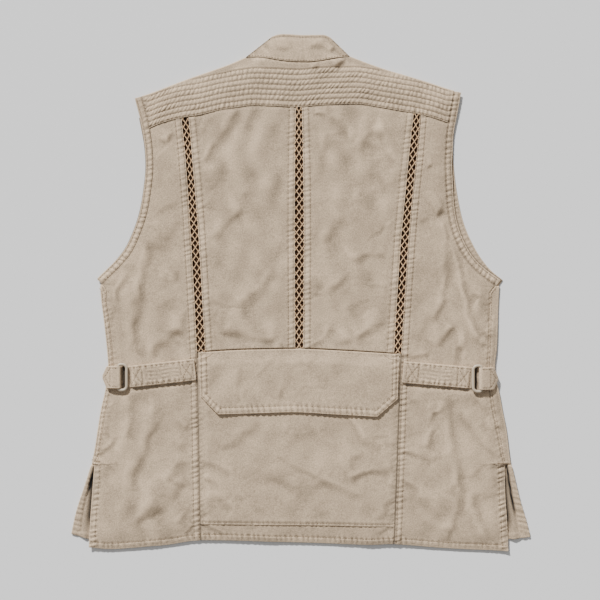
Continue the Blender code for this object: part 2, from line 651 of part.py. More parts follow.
def pouch_puff(x, y):
    """Soft swelling of the pouch between its seams, a half sine each way."""
    across = np.clip((x - PRINCESS_LEFT[0][1]) / (PRINCESS_RIGHT[0][1] - PRINCESS_LEFT[0][1]), 0, 1)
    up = np.clip((y - POUCH_BOTTOM[0][1]) / (POUCH_TOP - POUCH_BOTTOM[0][1]), 0, 1)
    return POUCH_PUFF * np.sin(math.pi * across) * np.sin(math.pi * up)


def make_flap(cotton):
    """Flap over the pouch, sewn in at the waist, with its lower corners cut off and its edge standing up."""
    straight = spread(FLAP_BOTTOM[1:-1], FLAP_COLUMNS)[1:-1]
    bottom = np.vstack([spread(FLAP_BOTTOM[:2], 2), straight, spread(FLAP_BOTTOM[-2:], 2)])
    x = np.linspace(FLAP_SIDE_LEFT[0][0], FLAP_SIDE_RIGHT[0][0], len(bottom))
    top = np.stack([x, by_width(WAIST_SEAM, x) - SEAM_GAP], axis=1)
    left, right = spread(FLAP_SIDE_LEFT[::-1], FLAP_ROWS), spread(FLAP_SIDE_RIGHT[::-1], FLAP_ROWS)
    left[-1], right[-1] = top[0], top[-1]
    points = patch(left, right, bottom, top, 0.0)
    x, y = points[..., 0], points[..., 1]
    lift = FLAP_LIFT * np.linspace(1, 0, len(points))[:, None] ** 2
    under = back_height(x, y) + SEAM_GAP + CLOTH + pouch_puff(x, y) + STACK_GAP + lift
    wall("pouch_flap", at_height(points, under + CLOTH), at_height(points, under), cotton)


def make_vent(side, thread, lining):
    """Vent: a strip of diamond net, cut through, with a dark lining strip under it."""
    rows_of_vent = VENTS[side]
    high = min(by_width(YOKE_SEAM, rows_of_vent[0][1]), by_width(YOKE_SEAM, rows_of_vent[0][2])) - SEAM_GAP
    low = max(by_width(WAIST_SEAM, rows_of_vent[-1][1]), by_width(WAIST_SEAM, rows_of_vent[-1][2])) + SEAM_GAP
    stations = np.linspace(low, high, UPPER_ROWS + 1)
    edges = [by_height(rows_of_vent, stations, column) for column in (1, 2)]
    make_net(f"net_{side}", stations, edges, thread)
    lines = np.stack([np.stack([edges[0] - VENT_LAP, stations], axis=1),
                      np.stack([edges[1] + VENT_LAP, stations], axis=1)], axis=1)
    top = back_height(lines[..., 0], lines[..., 1]) - CLOTH - LAYER_GAP
    wall(f"vent_lining_{side}", at_height(lines, top), at_height(lines, top - NET_WALL), lining)


def make_net(name, stations, edges, thread):
    """Net strip: a flat outline with staggered diamond holes, laid on the height of the back."""
    half = 0.5
    outline = [(-half, y) for y in stations] + [(half, y) for y in stations[::-1]]
    width = float(np.mean(edges[1] - edges[0])) - 2 * SEAM_GAP
    margin = half - NET_MARGIN / width
    cell_half = NET_CELL / 2
    slope = math.hypot(margin, cell_half / width)
    hole_wide = margin - NET_STRAND / 2 / width * slope / (cell_half / width)
    hole_high = cell_half - NET_STRAND / 2 * slope / margin
    cells = int((stations[-1] - stations[0] - 2 * NET_MARGIN) // NET_CELL)
    start = (stations[0] + stations[-1] - cells * NET_CELL) / 2
    holes = []
    for cell in range(cells):
        y = start + (cell + 0.5) * NET_CELL
        holes.append([(-hole_wide, y), (0, y - hole_high), (hole_wide, y), (0, y + hole_high)])
        if cell:
            y -= cell_half
            for side in (-1, 1):
                tip, flat = side * (margin - hole_wide), side * margin
                holes.append([(tip, y), (flat, y - hole_high), (flat, y + hole_high)])
    curve = bpy.data.curves.new(name, "CURVE")
    curve.dimensions = "2D"
    curve.fill_mode = "BOTH"
    curve.extrude = NET_WALL / 2
    for loop in [outline] + holes:
        spline = curve.splines.new("POLY")
        spline.points.add(len(loop) - 1)
        for point, (x, y) in zip(spline.points, loop):
            point.co = (x * width, y, 0.0, 1.0)
        spline.use_cyclic_u = True
    cutout = bpy.data.objects.new(name, curve)
    bpy.data.collections["vest"].objects.link(cutout)
    flat = bpy.data.meshes.new_from_object(cutout.evaluated_get(bpy.context.evaluated_depsgraph_get()))
    bpy.data.objects.remove(cutout)
    net = bmesh.new()
    net.from_mesh(flat)
    bmesh.ops.remove_doubles(net, verts=net.verts[:], dist=0.001)
    for vertex in net.verts:
        share, y, z = vertex.co.x / width + half, vertex.co.y, vertex.co.z
        left = np.interp(y, stations, edges[0]) + SEAM_GAP
        right = np.interp(y, stations, edges[1]) - SEAM_GAP
        x = left + share * (right - left)
        top = float(back_height(np.array(x), np.array(y)))
        vertex.co = (x * MM, y * MM, (top - NET_WALL / 2 + z) * MM)
    bmesh.ops.recalc_face_normals(net, faces=net.faces[:])
    data = bpy.data.meshes.new(name)
    net.to_mesh(data)
    net.free()
    piece(name, data, thread)


def ring_level(side):
    """Height of the ring's middle above the surface: it lies over a tab's lower leg and the strap's tip."""
    bar, middle, _point, outward = RINGS[side]
    x = np.array(bar + outward * RING_GAP / 2)
    rest = float(back_height(x, np.array(middle)))
    return rest + STACK_GAP + TAB_WALL + SEAM_GAP + RING_WIRE / 2


def make_strap(side, cotton):
    """Waist strap, laid on the side back, with its tip under the ring's outer bar."""
    x0, y0, x1, y1, width = STRAPS[side]
    share = np.append(np.linspace(0, STRAP_SPAN, STRAP_COLUMNS), 1.0)
    middle = np.stack([x0 + share * (x1 - x0), y0 + share * (y1 - y0)], axis=1)
    outward = RINGS[side][3]
    bar = RINGS[side][0]
    middle[-1, 0] = bar + outward * RING_WIRE / 4
    middle[-2, 0] = bar - outward * STRAP_DIP
    square = unit(np.array((-(y1 - y0), x1 - x0))) * (1 if x1 > x0 else -1)
    across = np.linspace(-width / 2, width / 2, STRAP_ROWS + 1)[:, None, None]
    points = middle[None] + across * square
    under = back_height(points[..., 0], points[..., 1]) + STACK_GAP
    tip = ring_level(side) - RING_WIRE / 2 - SEAM_GAP
    top = under + STRAP_WALL
    top[:, -2:] = tip
    under[:, -1] = tip - STRAP_TIP
    wall(f"strap_{side}", at_height(points, top), at_height(points, under), cotton)


def make_ring(side, plastic):
    """Flat ring of round wire: a straight bar in the tab's fold, and rounded corners beside the strap."""
    bar, middle, _point, outward = RINGS[side]
    near = bar
    far = bar + outward * (RING_GAP + RING_WIRE / 2 + TAB_WALL + SEAM_GAP + RING_WIRE / 2)
    tall = RING_HEIGHT / 2 - RING_WIRE / 2
    corner_far = RING_CORNER / 2
    route = []
    corners = (
        (near + outward * RING_CORNER, middle + tall - RING_CORNER, RING_CORNER, 90),
        (near + outward * RING_CORNER, middle - tall + RING_CORNER, RING_CORNER, 180),
        (far - outward * corner_far, middle - tall + corner_far, corner_far, 270),
        (far - outward * corner_far, middle + tall - corner_far, corner_far, 0),
    )
    for x, y, radius, start in corners:
        for step in range(CORNER_STEPS + 1):
            angle = math.radians(start + 90 / CORNER_STEPS * step)
            route.append((x - outward * radius * -math.cos(angle), y + radius * math.sin(angle)))
    level = ring_level(side)
    curve = bpy.data.curves.new(f"ring_{side}", "CURVE")
    curve.dimensions = "3D"
    curve.bevel_depth = RING_WIRE / 2 * MM
    curve.bevel_resolution = 2
    spline = curve.splines.new("POLY")
    spline.points.add(len(route) - 1)
    for point, (x, y) in zip(spline.points, route):
        point.co = (x * MM, y * MM, level * MM, 1.0)
    spline.use_cyclic_u = True
    piece(f"ring_{side}", curve, plastic)


def make_tab(side, cotton):
    """Pointed tab: a strip folded round the ring's straight bar, with its two legs sewn together."""
    bar, middle, point, outward = RINGS[side]
    turn = RING_WIRE / 2 + SEAM_GAP + TAB_WALL
    loop_x = bar + outward * (RING_WIRE / 2 + RING_GAP + turn)
    level = ring_level(side)
    legs = np.linspace(0, 1, TAB_STEPS)
    tip_x = point - outward * TAB_TIP
    x_leg = tip_x + legs * (loop_x - tip_x)
    over = middle + TAB_WIDTH / 2 * np.linspace(-1, 1, TAB_STEPS)[:, None]
    rest = np.max(back_height(*np.broadcast_arrays(x_leg, over)), axis=0)
    low_outer = rest + STACK_GAP
    angle = np.radians(np.linspace(-90, 90, TAB_TURN_STEPS + 1))[1:-1]
    top_drop = (level + turn - (low_outer + 2 * TAB_WALL + SEAM_GAP)) * (1 - legs) ** 1.5
    outer, inner = [], []
    for stack, radius, low, high in (
        (outer, turn, low_outer, level + turn - top_drop),
        (inner, turn - TAB_WALL, low_outer + TAB_WALL, level + turn - TAB_WALL - top_drop),
    ):
        low = low.copy()
        low[-1] = level - radius
        stack += list(zip(x_leg, low))
        stack += [(loop_x - outward * radius * math.cos(a), level + radius * math.sin(a)) for a in angle]
        stack += list(zip(x_leg[::-1], high[::-1]))
    outer, inner = np.array(outer), np.array(inner)
    from_tip = np.abs(outer[:, 0] - tip_x)
    half = TAB_WIDTH / 2 * np.clip(TAB_TIP_SHARE + (1 - TAB_TIP_SHARE) * from_tip / TAB_POINT, 0, 1)
    skins = []
    for section in (outer, inner):
        rows = [np.stack([section[:, 0], middle + share * half, section[:, 1]], axis=1) for share in (-1, 0, 1)]
        skins.append(np.stack(rows))
    wall(f"tab_{side}", *skins, cotton)


def main():
    for thing in list(bpy.data.objects):
        bpy.data.objects.remove(thing)
    collection = bpy.data.collections.new("vest")
    bpy.context.scene.collection.children.link(collection)
    cotton = material("cotton", COTTON)
    thread = material("net_thread", NET_THREAD)
    lining = material("dark_lining", DARK_LINING)
    plastic = material("ring_plastic", RING_PLASTIC)
    armholes = {
        "left": (ARMHOLE_LEFT, FRONT_ARMHOLE_LEFT, YOKE_SEAM[0][1], -1),
        "right": (ARMHOLE_RIGHT, FRONT_ARMHOLE_RIGHT, YOKE_SEAM[-1][1], 1),
    }
    bands = {side: band_lines(back, low, outward) for side, (back, _front, low, outward) in armholes.items()}
    for side, shoulder in (("left", SHOULDER_LEFT), ("right", SHOULDER_RIGHT)):
        tip = np.array(shoulder[-1], float)
        bands[side][1][0] = tip + BAND_WIDTH * unit(np.array(shoulder[-2]) - tip)
    seam = seam_points(bands["left"][1][YOKE_ROWS], bands["right"][1][YOKE_ROWS])
    for side, (_back, front, low, outward) in armholes.items():
        front_lines = band_lines(front, low, outward)
        make_bands(side, cotton, bands[side], front_lines)
        make_front(side, cotton, front_lines)
        make_side_back(side, cotton, seam, 0 if outward < 0 else 6, bands[side][1])
        make_upper_back(side, cotton, seam, 2 if outward < 0 else 4)
        make_strap(side, cotton)
        make_ring(side, plastic)
        make_tab(side, cotton)
    make_collar(cotton)
    make_yoke(cotton, seam, bands)
    make_lower_back(cotton)
    make_flap(cotton)
    for side in VENTS:
        make_vent(side, thread, lining)


main()
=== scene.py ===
"""Looks of a photographer vest of washed cotton, laid flat with its back up and its collar away from the hem.

The whole back is one height over x and y: a soft rise from its edges, folds, and the relief of its sewing.
Each cut piece takes its own part of that height and becomes thin closed cloth with rounded edges.
Sizes and places are in millimetres until a mesh is made.
"""

import math

import bpy
import numpy as np
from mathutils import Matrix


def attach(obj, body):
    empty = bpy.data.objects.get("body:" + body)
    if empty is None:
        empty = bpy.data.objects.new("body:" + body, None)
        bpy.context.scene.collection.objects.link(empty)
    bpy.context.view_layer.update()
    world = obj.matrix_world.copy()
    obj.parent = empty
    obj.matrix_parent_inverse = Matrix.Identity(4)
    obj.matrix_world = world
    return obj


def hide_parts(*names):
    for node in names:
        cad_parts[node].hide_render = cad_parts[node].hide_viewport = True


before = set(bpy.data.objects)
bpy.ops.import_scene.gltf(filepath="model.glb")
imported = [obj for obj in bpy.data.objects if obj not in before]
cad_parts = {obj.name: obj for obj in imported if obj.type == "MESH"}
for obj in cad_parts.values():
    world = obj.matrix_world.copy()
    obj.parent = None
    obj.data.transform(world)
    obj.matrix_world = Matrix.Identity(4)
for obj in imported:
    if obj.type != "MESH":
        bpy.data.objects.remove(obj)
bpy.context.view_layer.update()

bl_info = {
    "name": "Photographer vest",
    "version": (1, 0, 0),
    "blender": (4, 5, 0),
    "location": "3D View > Sidebar > Vest",
    "description": "Builds the cloth, nets, rings, sewing and studio of a photographer vest laid flat",
    "category": "Add Mesh",
}

MM = 0.001
UP = (0.0, 0.0, 1.0)
SIDES = ("left", "right")
INWARD = {"left": 1, "right": -1}       # which way along x leads to the middle
END = {"left": 0, "right": -1}      # which end of a line from left to right

# Cloth
EDGE_TOP = 3.2          # top of the back at its outer edges
TURN = 1.6              # outer radius of a fold round the side or the shoulder
RISE = 5.0              # how far the middle of the back stands above its edges
SOFT = 40.0             # distance over which the back rises from an edge
SEAM_GAP = 0.3          # between two sewn pieces
WALL = 1.1              # one layer of cloth with its turnings
INSET = 0.04 + WALL / 2     # a grid's edge lies this far inside its seam, for its rounded rim
BAND_WIDTH = 10.5       # armhole band
FRONT_REACH = 25.0      # how far the yoke comes over the shoulder to the front
VENT_LAP = 3.0          # how far a vent's lining reaches under the cloth beside it

# Grid steps
FINE = 1.2              # beside seams
COARSE = 3.0            # in the middle of a panel
NEAR = 13.0             # distance from a seam with the fine step
ROW_STEP = 1.3          # up a panel
YOKE_STEP = 1.25        # both ways on the yoke, and along an armhole band
POUCH_STEP = 1.5        # across the pouch and the lower back, and at the front's edges
STRAP_STEP = 1.15
TAB_STEP = 1.1
HIDDEN_STEP = 5.0       # on cloth that other cloth hides

# Sizes of panels, which with a step give the number of rows and columns
UPPER_LONG = 340
LOWER_WIDE = 282
LOWER_LONG = 276
LOWER_SHOWN = 30        # part of it below the pouch
POUCH_WIDE = 284
POUCH_SHOWN = 160
POUCH_HIDDEN = 80       # under the flap
FLAP_LONG = 64
FLAP_CORNERS = (36, 39)     # its two cut-off corners
YOKE_LONG = 92
COLLAR_WIDE = 150
COLLAR_LONG = 35
FRONT_WIDE = 300
FRONT_SHOWN = 42        # part of it beside its slit
FRONT_LONG = 270        # beside the armhole
VENT_FOOT = -90         # y past the ends of every vent
VENT_HEAD = 300

# Columns: x, y. Shoulder fold from the neck point to the armhole tip.
SHOULDER = {
    "left": [(-80, 338.5), (-102, 329), (-131, 318.5), (-160, 308.5), (-188, 298), (-217, 287), (-239, 280)],
    "right": [(71, 340), (100, 329), (128, 319.5), (157, 311), (186, 302), (215, 292.5), (230.5, 288)],
}

# Columns: x, y. Seam between the yoke and the collar, and the collar's folded outline above it.
COLLAR_SEAM = [(-80, 338.5), (-59, 338.5), (-44, 336), (-30, 333.5), (-15, 332), (0, 331.5), (14, 331.5),
               (28, 333), (42, 335.5), (58, 338.5), (71, 340)]
COLLAR_TOP = [(-43, 367.5), (-33, 371), (-15, 371.5), (0, 370.5), (20, 370.5), (36, 370), (44, 366)]
COLLAR_SLOPE = {"left": [(-80, 338.5), (-76, 341), (-43, 367.5), (-33, 371)],
                "right": [(71, 340), (44, 366), (36, 370)]}

# Columns: share of the way from the middle to the neck point, y.
# The hidden front neckline, and the collar's front edge above it.
NECKLINE = [(1.0, 339), (0.98, 312), (0.82, 293), (0.5, 280), (0, 275)]
COLLAR_FRONT = [(0.53, 367.5), (0.44, 352), (0.32, 342), (0.16, 333), (0, 325)]

# Columns: x, y. Armhole edge of the back from the shoulder tip to the underarm, and of the front.
ARMHOLE = {
    "left": [(-239, 280), (-231.5, 251), (-228, 235), (-224, 206), (-223, 177), (-226, 148), (-231, 119),
             (-240, 90.5), (-254, 61.5), (-265.5, 47.5), (-280, 33), (-293, 20.5)],
    "right": [(230.5, 288), (224.5, 255), (219.5, 227), (218.5, 206), (217.5, 184), (218.5, 162),
              (220, 134), (224, 105), (233.5, 76), (251, 47.5), (265, 34.5), (287, 18.5)],
}
FRONT_ARMHOLE = {
    "left": [(-233, 252), (-225, 206), (-224, 177), (-227, 148), (-232, 119), (-241, 90.5),
             (-255, 61.5), (-266, 47.5), (-280, 33), (-292, 20.5)],
    "right": [(224, 262), (219, 206), (222, 162.5), (226.5, 134), (233, 105), (244.5, 76),
              (261, 47.5), (273, 33), (290.5, 18.5)],
}

# Columns: y, fold at the side, seam between the front and the back beside that fold
SIDE = {
    "left": [(11.5, -288.4, -285), (7, -288.5, -281), (-13, -287, -279.5), (-36, -284, -276),
             (-58, -281.5, -273.5), (-82, -279, -271), (-106, -277.5, -269.5), (-140, -281.5, -273.5),
             (-169, -288, -280), (-197, -292.5, -284.5), (-226, -297, -289), (-241, -300, -292),
             (-246, -300.8, -296.6)],
    "right": [(9.5, 285.9, 281), (4, 285.5, 274), (-13, 284.5, 272.5), (-46, 283.5, 271.5), (-82, 282, 270.5),
              (-105, 279.5, 269), (-124, 281, 269.5), (-143, 285.5, 272.5), (-169, 290.5, 276.5),
              (-197, 296, 282.5), (-226, 299.5, 288), (-241, 301.5, 290.5), (-246, 302.3, 292.8)],
}

# Columns: x, y. Edge of the back and of the front along the side slit, down to the hem.
SLIT_BACK = {
    "left": [(-297, -246), (-300, -284), (-303, -327), (-305, -366)],
    "right": [(293, -246), (294.5, -298), (296.5, -327), (298.5, -371.5)],
}
SLIT_FRONT = {
    "left": [(-301, -247.5), (-311.5, -280), (-322.5, -313), (-330.3, -347)],
    "right": [(302.6, -247.5), (308, -270), (315, -298), (324, -327), (330.3, -351)],
}

# Columns: x, y. Lower edge of the back and of the front, from left to right.
HEM_BACK = [(-305, -366), (-275, -368.5), (-246, -367), (-217, -364.5), (-188, -362), (-162, -357.5),
            (-144, -356), (-116, -356), (-44, -358), (0, -359), (56, -361), (100, -362.5), (135, -361.5),
            (157, -363), (186, -365.5), (215, -367.5), (244, -369), (272, -370), (298.5, -371.5)]
HEM_FRONT = [(0, -350), (150, -351), (305, -354), (330.3, -351)]

# Columns: x, y. Seam between the yoke and the back, and the waist seam, where the flap is sewn in.
YOKE_SEAM = [(-219, 236), (-203, 242.5), (-174, 250.5), (-145, 255), (-116, 262), (-88, 266.5),
             (-73, 268.5), (-44, 268), (0, 266.5), (28, 269), (56, 270), (85, 270.5), (114, 266),
             (143, 261), (172, 256), (200, 248), (210, 244.5)]
WAIST_SEAM = [(-149, -84), (-86, -80.5), (-41, -79.5), (0, -79), (46, -81), (90, -83.5), (144, -87)]

# Columns: y, left edge, right edge. Vents from the yoke to the waist.
VENTS = {
    "left": [(250, -171, -161), (206, -166.5, -157), (134, -161, -151), (76, -157.5, -146.5),
             (18, -154, -143), (-84, -149, -137.5)],
    "center": [(267, -7, 1.5), (206, -8, 3), (134, -8.5, 4), (-79, -8, 3.5)],
    "right": [(256, 162, 171), (206, 156.5, 167), (134, 149.5, 159.5), (76, 144, 154.5),
              (18, 140, 150.5), (-86, 134, 144)],
}

# Columns: x, y. Seams beside the lower middle of the back, from the waist to the hem.
PRINCESS = {"left": [(-149, -84), (-144, -356)], "right": [(144, -87), (134, -361.5)]}

# Columns: x, y. Pouch edge near the hem, and the flap's outline below the waist seam.
POUCH_BOTTOM = [(-144.5, -332.5), (0, -334), (134.5, -336)]
POUCH_TOP = -93.0       # its hidden mouth
POUCH_FOOT = -334.0     # middle of its lower edge
POUCH_FLAT = -180.0     # the flap follows the pouch down to here
FLAP_SIDE = {"left": [(-146, -85.5), (-144.5, -148)], "right": [(141, -88), (139.5, -152)]}
FLAP_BOTTOM = [(-144.5, -148), (-119, -174), (-64, -172.5), (-10, -171), (46, -174), (110, -177.5),
               (139.5, -152)]

# Columns: x and y at the princess seam, x and y at the ring, width. Middle line of each waist strap.
STRAPS = {"left": (-151.5, -110.0, -247.0, -120.5, 31.0), "right": (146.5, -113.5, 245.5, -122.0, 31.0)}
STRAP_WALL = 2.0
STRAP_PLY = 1.9         # wall of its two layers of cloth
STRAP_TIP = 1.2         # the same where it passes under the ring
STRAP_MARGIN = 3.0      # from its long edges to their stitch lines
STRAP_BOX = 17.5        # length of a box of stitches
STRAP_BOXES = {"left": (3.5, 76.5), "right": (4.5, 78.5)}       # where a strap's two boxes start

# Columns: x of the ring's bar over the strap, y of its middle, x of the tab's point
RINGS = {"left": (-249.5, -121.0, -285.0), "right": (247.0, -123.0, 283.5)}
RING_WIRE = 4.2
RING_HEIGHT = 41.0
RING_GAP = 6.0
RING_CORNER = 6.0
TAB_WIDTH = 31.5
TAB_WALL = 1.2
TAB_POINT = 6.0
TAB_TIP = 0.5
TAB_TURN = RING_WIRE / 2 + SEAM_GAP + TAB_WALL      # outer radius of a tab's fold round its ring
STACK_GAP = 0.5         # between a piece and what lies on it

# Sewing
QUILT_LINES = [0.0, 8.8, 16.3, 23.8, 31.3, 38.8, 46.3, 53.8]   # stitch lines of the yoke above its seam
QUILT_RISE = 0.95
STITCH = 3.0            # length of one stitch
STITCH_STEP = 4.1       # from one stitch to the next
THREAD_RISE = 0.12      # how far a stitch stands above its groove
GROOVE = 0.85           # how far a stitch line sinks
PUCKER = 7.8            # distance between two puckers along a seam
PUCKER_RISE = 2.2       # height of all puckers together

COLLAR_STITCH = 2.3     # from the collar's seam to the stitch line above it
COLLAR_RIM = 3.0        # from the collar's folded top to the stitch line under it

# Pouch and flap
POUCH_LOW = 0.5         # top of the pouch above the back at its side seams
POUCH_LIFT = 1.2        # further rise a little way in from them
POUCH_PUFF = 2.0        # swelling of its middle
FLAP_LAP = 1.5          # top of the flap above the pouch
FLAP_LIFT = 1.6         # how far its lower edge stands up

# Columns: x, y. Tacks at the tops of the slits and in the flap's upper corners.
SLIT_TACKS = [[(-295.5, -242.5), (-288, -242)], [(281, -244), (293, -244.5)],
              [(-295.5, -243.3), (-288, -242.8)], [(281, -244.8), (293, -245.3)]]
FLAP_TACKS = [[(-143, -94), (-133, -91.5), (-126, -86.5)], [(138, -96), (126, -94), (118, -87.5)]]

# Net
NET_CELL = 11.9         # height of one diamond cell
NET_MESH = 7.8          # width of one diamond cell
NET_PLY = 3.4           # length of one turn of its two plies
NET_LOW = 0.95          # middle of the net below the top of the cloth beside it
LINING_LOW = 2.7        # top of the lining below the top of the cloth beside it
LINING_WALL = 0.8

# Folds. Columns: width, slope, then x and y of each point of the line. A slope below 0 faces the light.
BACK_FOLDS = [
    (5.8, 2.13, -219, 76, -223, 44, -232, 1, -240, -39, -242, -82),
    (3.7, 2.13, -246, 44, -258, 17, -268, -15), (4.3, 1.28, -266, -15, -272, -36, -271, -56),
    (2.2, 1.28, -250, 43, -266, 30, -285, 20), (2.9, 2.13, -289, 7, -278, 10),
    (5.8, 2.6, -164, -52, -186, -62, -203, -75, -217, -97), (2.9, 1.2, -165, -26, -173, -43),
    (3.6, 1.28, -177, 31, -183, 13), (2.3, 0.85, -199, 27, -188, 31), (10.1, 0.53, -184, 1, -197, -25),
    (2.9, 1.07, -181, -69, -167, -75), (3.5, 2.77, -204, 222, -191, 213), (3.2, 2.56, -191, 213, -183, 233),
    (4.3, 1.17, -197, 206, -203, 183, -206, 148), (4.3, 1.07, -174, 131, -193, 124, -213, 106),
    (5.2, 1.28, -174, 106, -181, 88, -200, 75), (4, 1.07, -216, 98, -207, 91),
    (3.5, 1.7, -269, -151, -275, -176, -281, -213), (2.9, 2.2, -260, -205, -272, -216, -292, -236),
    (4.3, 1.4, -245, -143, -246, -172, -252, -213),
    (6.6, 2, -204, -163, -216, -197, -229, -233, -242, -264, -247, -290), (2.9, 0.9, -285, -249, -262, -251),
    (8.6, 0.5, -282, -277, -249, -287),
    (7.2, 2.6, -160, -265, -177, -281, -203, -307, -227, -323, -247, -339),
    (4.3, 1.7, -158, -244, -173, -246, -184, -258, -193, -275), (3.5, 1.2, -161, -216, -178, -221),
    (2.9, 1, -161, -190, -170, -196), (3.5, 1.6, -158, -304, -168, -318, -178, -334),
    (2.6, 1.8, -154, -331, -167, -347), (2.2, 0.6, -262, -324, -260, -352),
    (5, 2.18, -91, 263, -102, 246, -122, 216, -144, 183), (5.8, 1.17, -111, 186, -124, 160, -139, 142),
    (3.6, 0.94, -127, 135, -144, 121), (5.8, 1.48, -82, 118, -101, 108, -118, 88, -129, 73),
    (2.9, 0.94, -132, 250, -142, 226), (3.6, 0.7, -66, 262, -76, 249, -82, 232),
    (5.8, 0.47, -40, 258, -56, 246, -60, 232), (4.3, 0.55, -73, 148, -89, 132),
    (4.6, 0.31, -33, 235, -37, 206, -42, 174), (2, -1.3, -139, 255, -147, 236),
    (6.6, 1.48, -39, 33, -50, 16, -70, -5, -99, -25), (3.7, 1.1, -129, -12, -114, -17, -98, -23),
    (2.9, 0.7, -128, -28, -103, -29), (4.3, 0.7, -127, 13, -106, 11),
    (4.6, 2, -118, -53, -98, -58, -78, -64, -56, -68, -34, -69), (2.9, 0.7, -118, 47, -128, 30),
    (4.3, 0.55, -29, 33, -20, 19), (2.9, 0.8, -125, -38, -116, -46), (2.3, 1.9, -30, -71, -19, -78),
    (2.3, 2.3, 19, 255, 38, 255), (4.3, 1.5, 43, 255, 53, 247, 65, 235, 68, 220),
    (5.2, 1.7, 98, 236, 110, 229, 121, 230), (5.8, 1.6, 72, 214, 82, 210, 92, 214, 105, 210, 120, 204),
    (5.2, 1.6, 118, 206, 128, 196, 140, 181), (4.6, 0.8, 36, 230, 29, 196, 16, 148),
    (5.8, 0.7, 95, 175, 114, 165, 133, 147), (4.3, 0.7, 85, 150, 74, 122),
    (5.8, 1.5, 66, 106, 51, 95, 39, 82, 25, 69), (4.3, 0.9, 118, 99, 124, 92),
    (4.6, 1.7, 125, 55, 107, 53, 92, 55, 72, 43), (5.8, 1.6, 66, 33, 56, 16, 46, 4, 30, -6),
    (3.2, 1.3, 23, 3, 28, -5), (4.3, 0.8, 113, 27, 121, 23), (2.3, 0.8, 127, 11, 98, 11),
    (5.2, 2, 125, -35, 111, -46, 94, -58, 74, -66), (5.2, 1.3, 74, -65, 61, -72, 42, -69),
    (3.5, 1.8, 45, -49, 32, -65, 12, -79), (5.8, 0.8, 82, -10, 64, -33), (2.9, 2.38, 179, 183, 189, 184),
    (2.9, 1.68, 190, 178, 202, 164), (3.6, 3.22, 193, 111, 209, 121), (2.9, 1.54, 169, 102, 185, 108),
    (4.3, 2.24, 205, 106, 209, 69, 208, 33, 203, -10), (4.3, 2.8, 205, -6, 200, -25, 189, -41),
    (2.9, 2.52, 213, 79, 223, 52, 235, 0, 244, -42, 255, -68), (3.6, 3.22, 221, -49, 208, -61, 195, -81),
    (2.3, 2.2, 147, -91, 169, -91, 182, -85), (4.3, 1.68, 222, -75, 235, -78), (3.5, 2.8, 257, -77, 268, -72),
    (4.3, 1.82, 248, 1, 259, -7), (3.5, 2.8, 271, -33, 277, -41), (4.3, 1.54, 258, -13, 271, -49),
    (2.9, 1.82, 262, -52, 274, -69), (4.3, 0.98, 157, -59, 174, -65), (3.5, 2.2, 192, -170, 200, -174),
    (3.6, 1.6, 195, -174, 190, -197, 176, -225), (3.6, 2.1, 141, -229, 157, -231, 172, -235, 192, -245),
    (3.2, 2.2, 147, -268, 160, -277, 173, -284), (7.2, 1.5, 170, -281, 183, -303, 209, -329),
    (4.6, 1.5, 210, -151, 213, -197, 219, -238), (4.9, 1.4, 219, -235, 226, -264, 228, -294),
    (4.6, 1.4, 228, -291, 222, -320, 212, -346), (3.7, 2, 209, -341, 218, -341),
    (4.3, 1.3, 229, -169, 244, -192, 261, -215, 285, -239), (2.9, 1.9, 252, -151, 265, -166, 274, -179),
    (3.6, 1.4, 261, -182, 275, -200), (2.2, 1.6, 278, -192, 291, -192), (2.2, 1.6, 278, -209, 297, -212),
    (2.3, 1.6, 267, -252, 278, -249, 288, -249), (2.9, 1.1, 258, -297, 272, -291, 285, -288),
    (4.3, 1.4, 242, -288, 249, -313, 265, -352), (2.9, 1.3, 157, -153, 173, -160),
    (5.8, 1, 232, -258, 241, -267), (2.2, 1.2, 144, -294, 156, -297), (2.2, 1, 144, -255, 159, -257),
    (2.6, 2.4, -144, -331, -131, -337, -106, -349), (2, 1.2, -114, -336, -101, -343),
    (2.3, 1, -82, -337, -63, -337), (2.3, 0.9, -1, -334, 17, -344),
    (2.3, 1.8, 108, -346, 124, -339, 136, -336), (2.2, 1.6, -137, -344, -138, -357),
]
UPPER_FOLDS = [
    (3.2, 1.6, 65, 337, 56, 330, 46, 321), (3.5, 0.7, -56, 335, -65, 327), (2.3, 1.6, 41, 345, 49, 355),
    (2.2, 1.4, 53, 353, 64, 345), (4.3, 0.7, -37, 353, -16, 351), (4.3, 0.7, 12, 354, 35, 355),
    (3.5, 0.8, -56, 353, -47, 361), (2.9, 0.9, 28, 327, 16, 318), (3.7, 0.6, -174, 289, -186, 281),
    (4.3, 0.5, 172, 283, 183, 275),
]
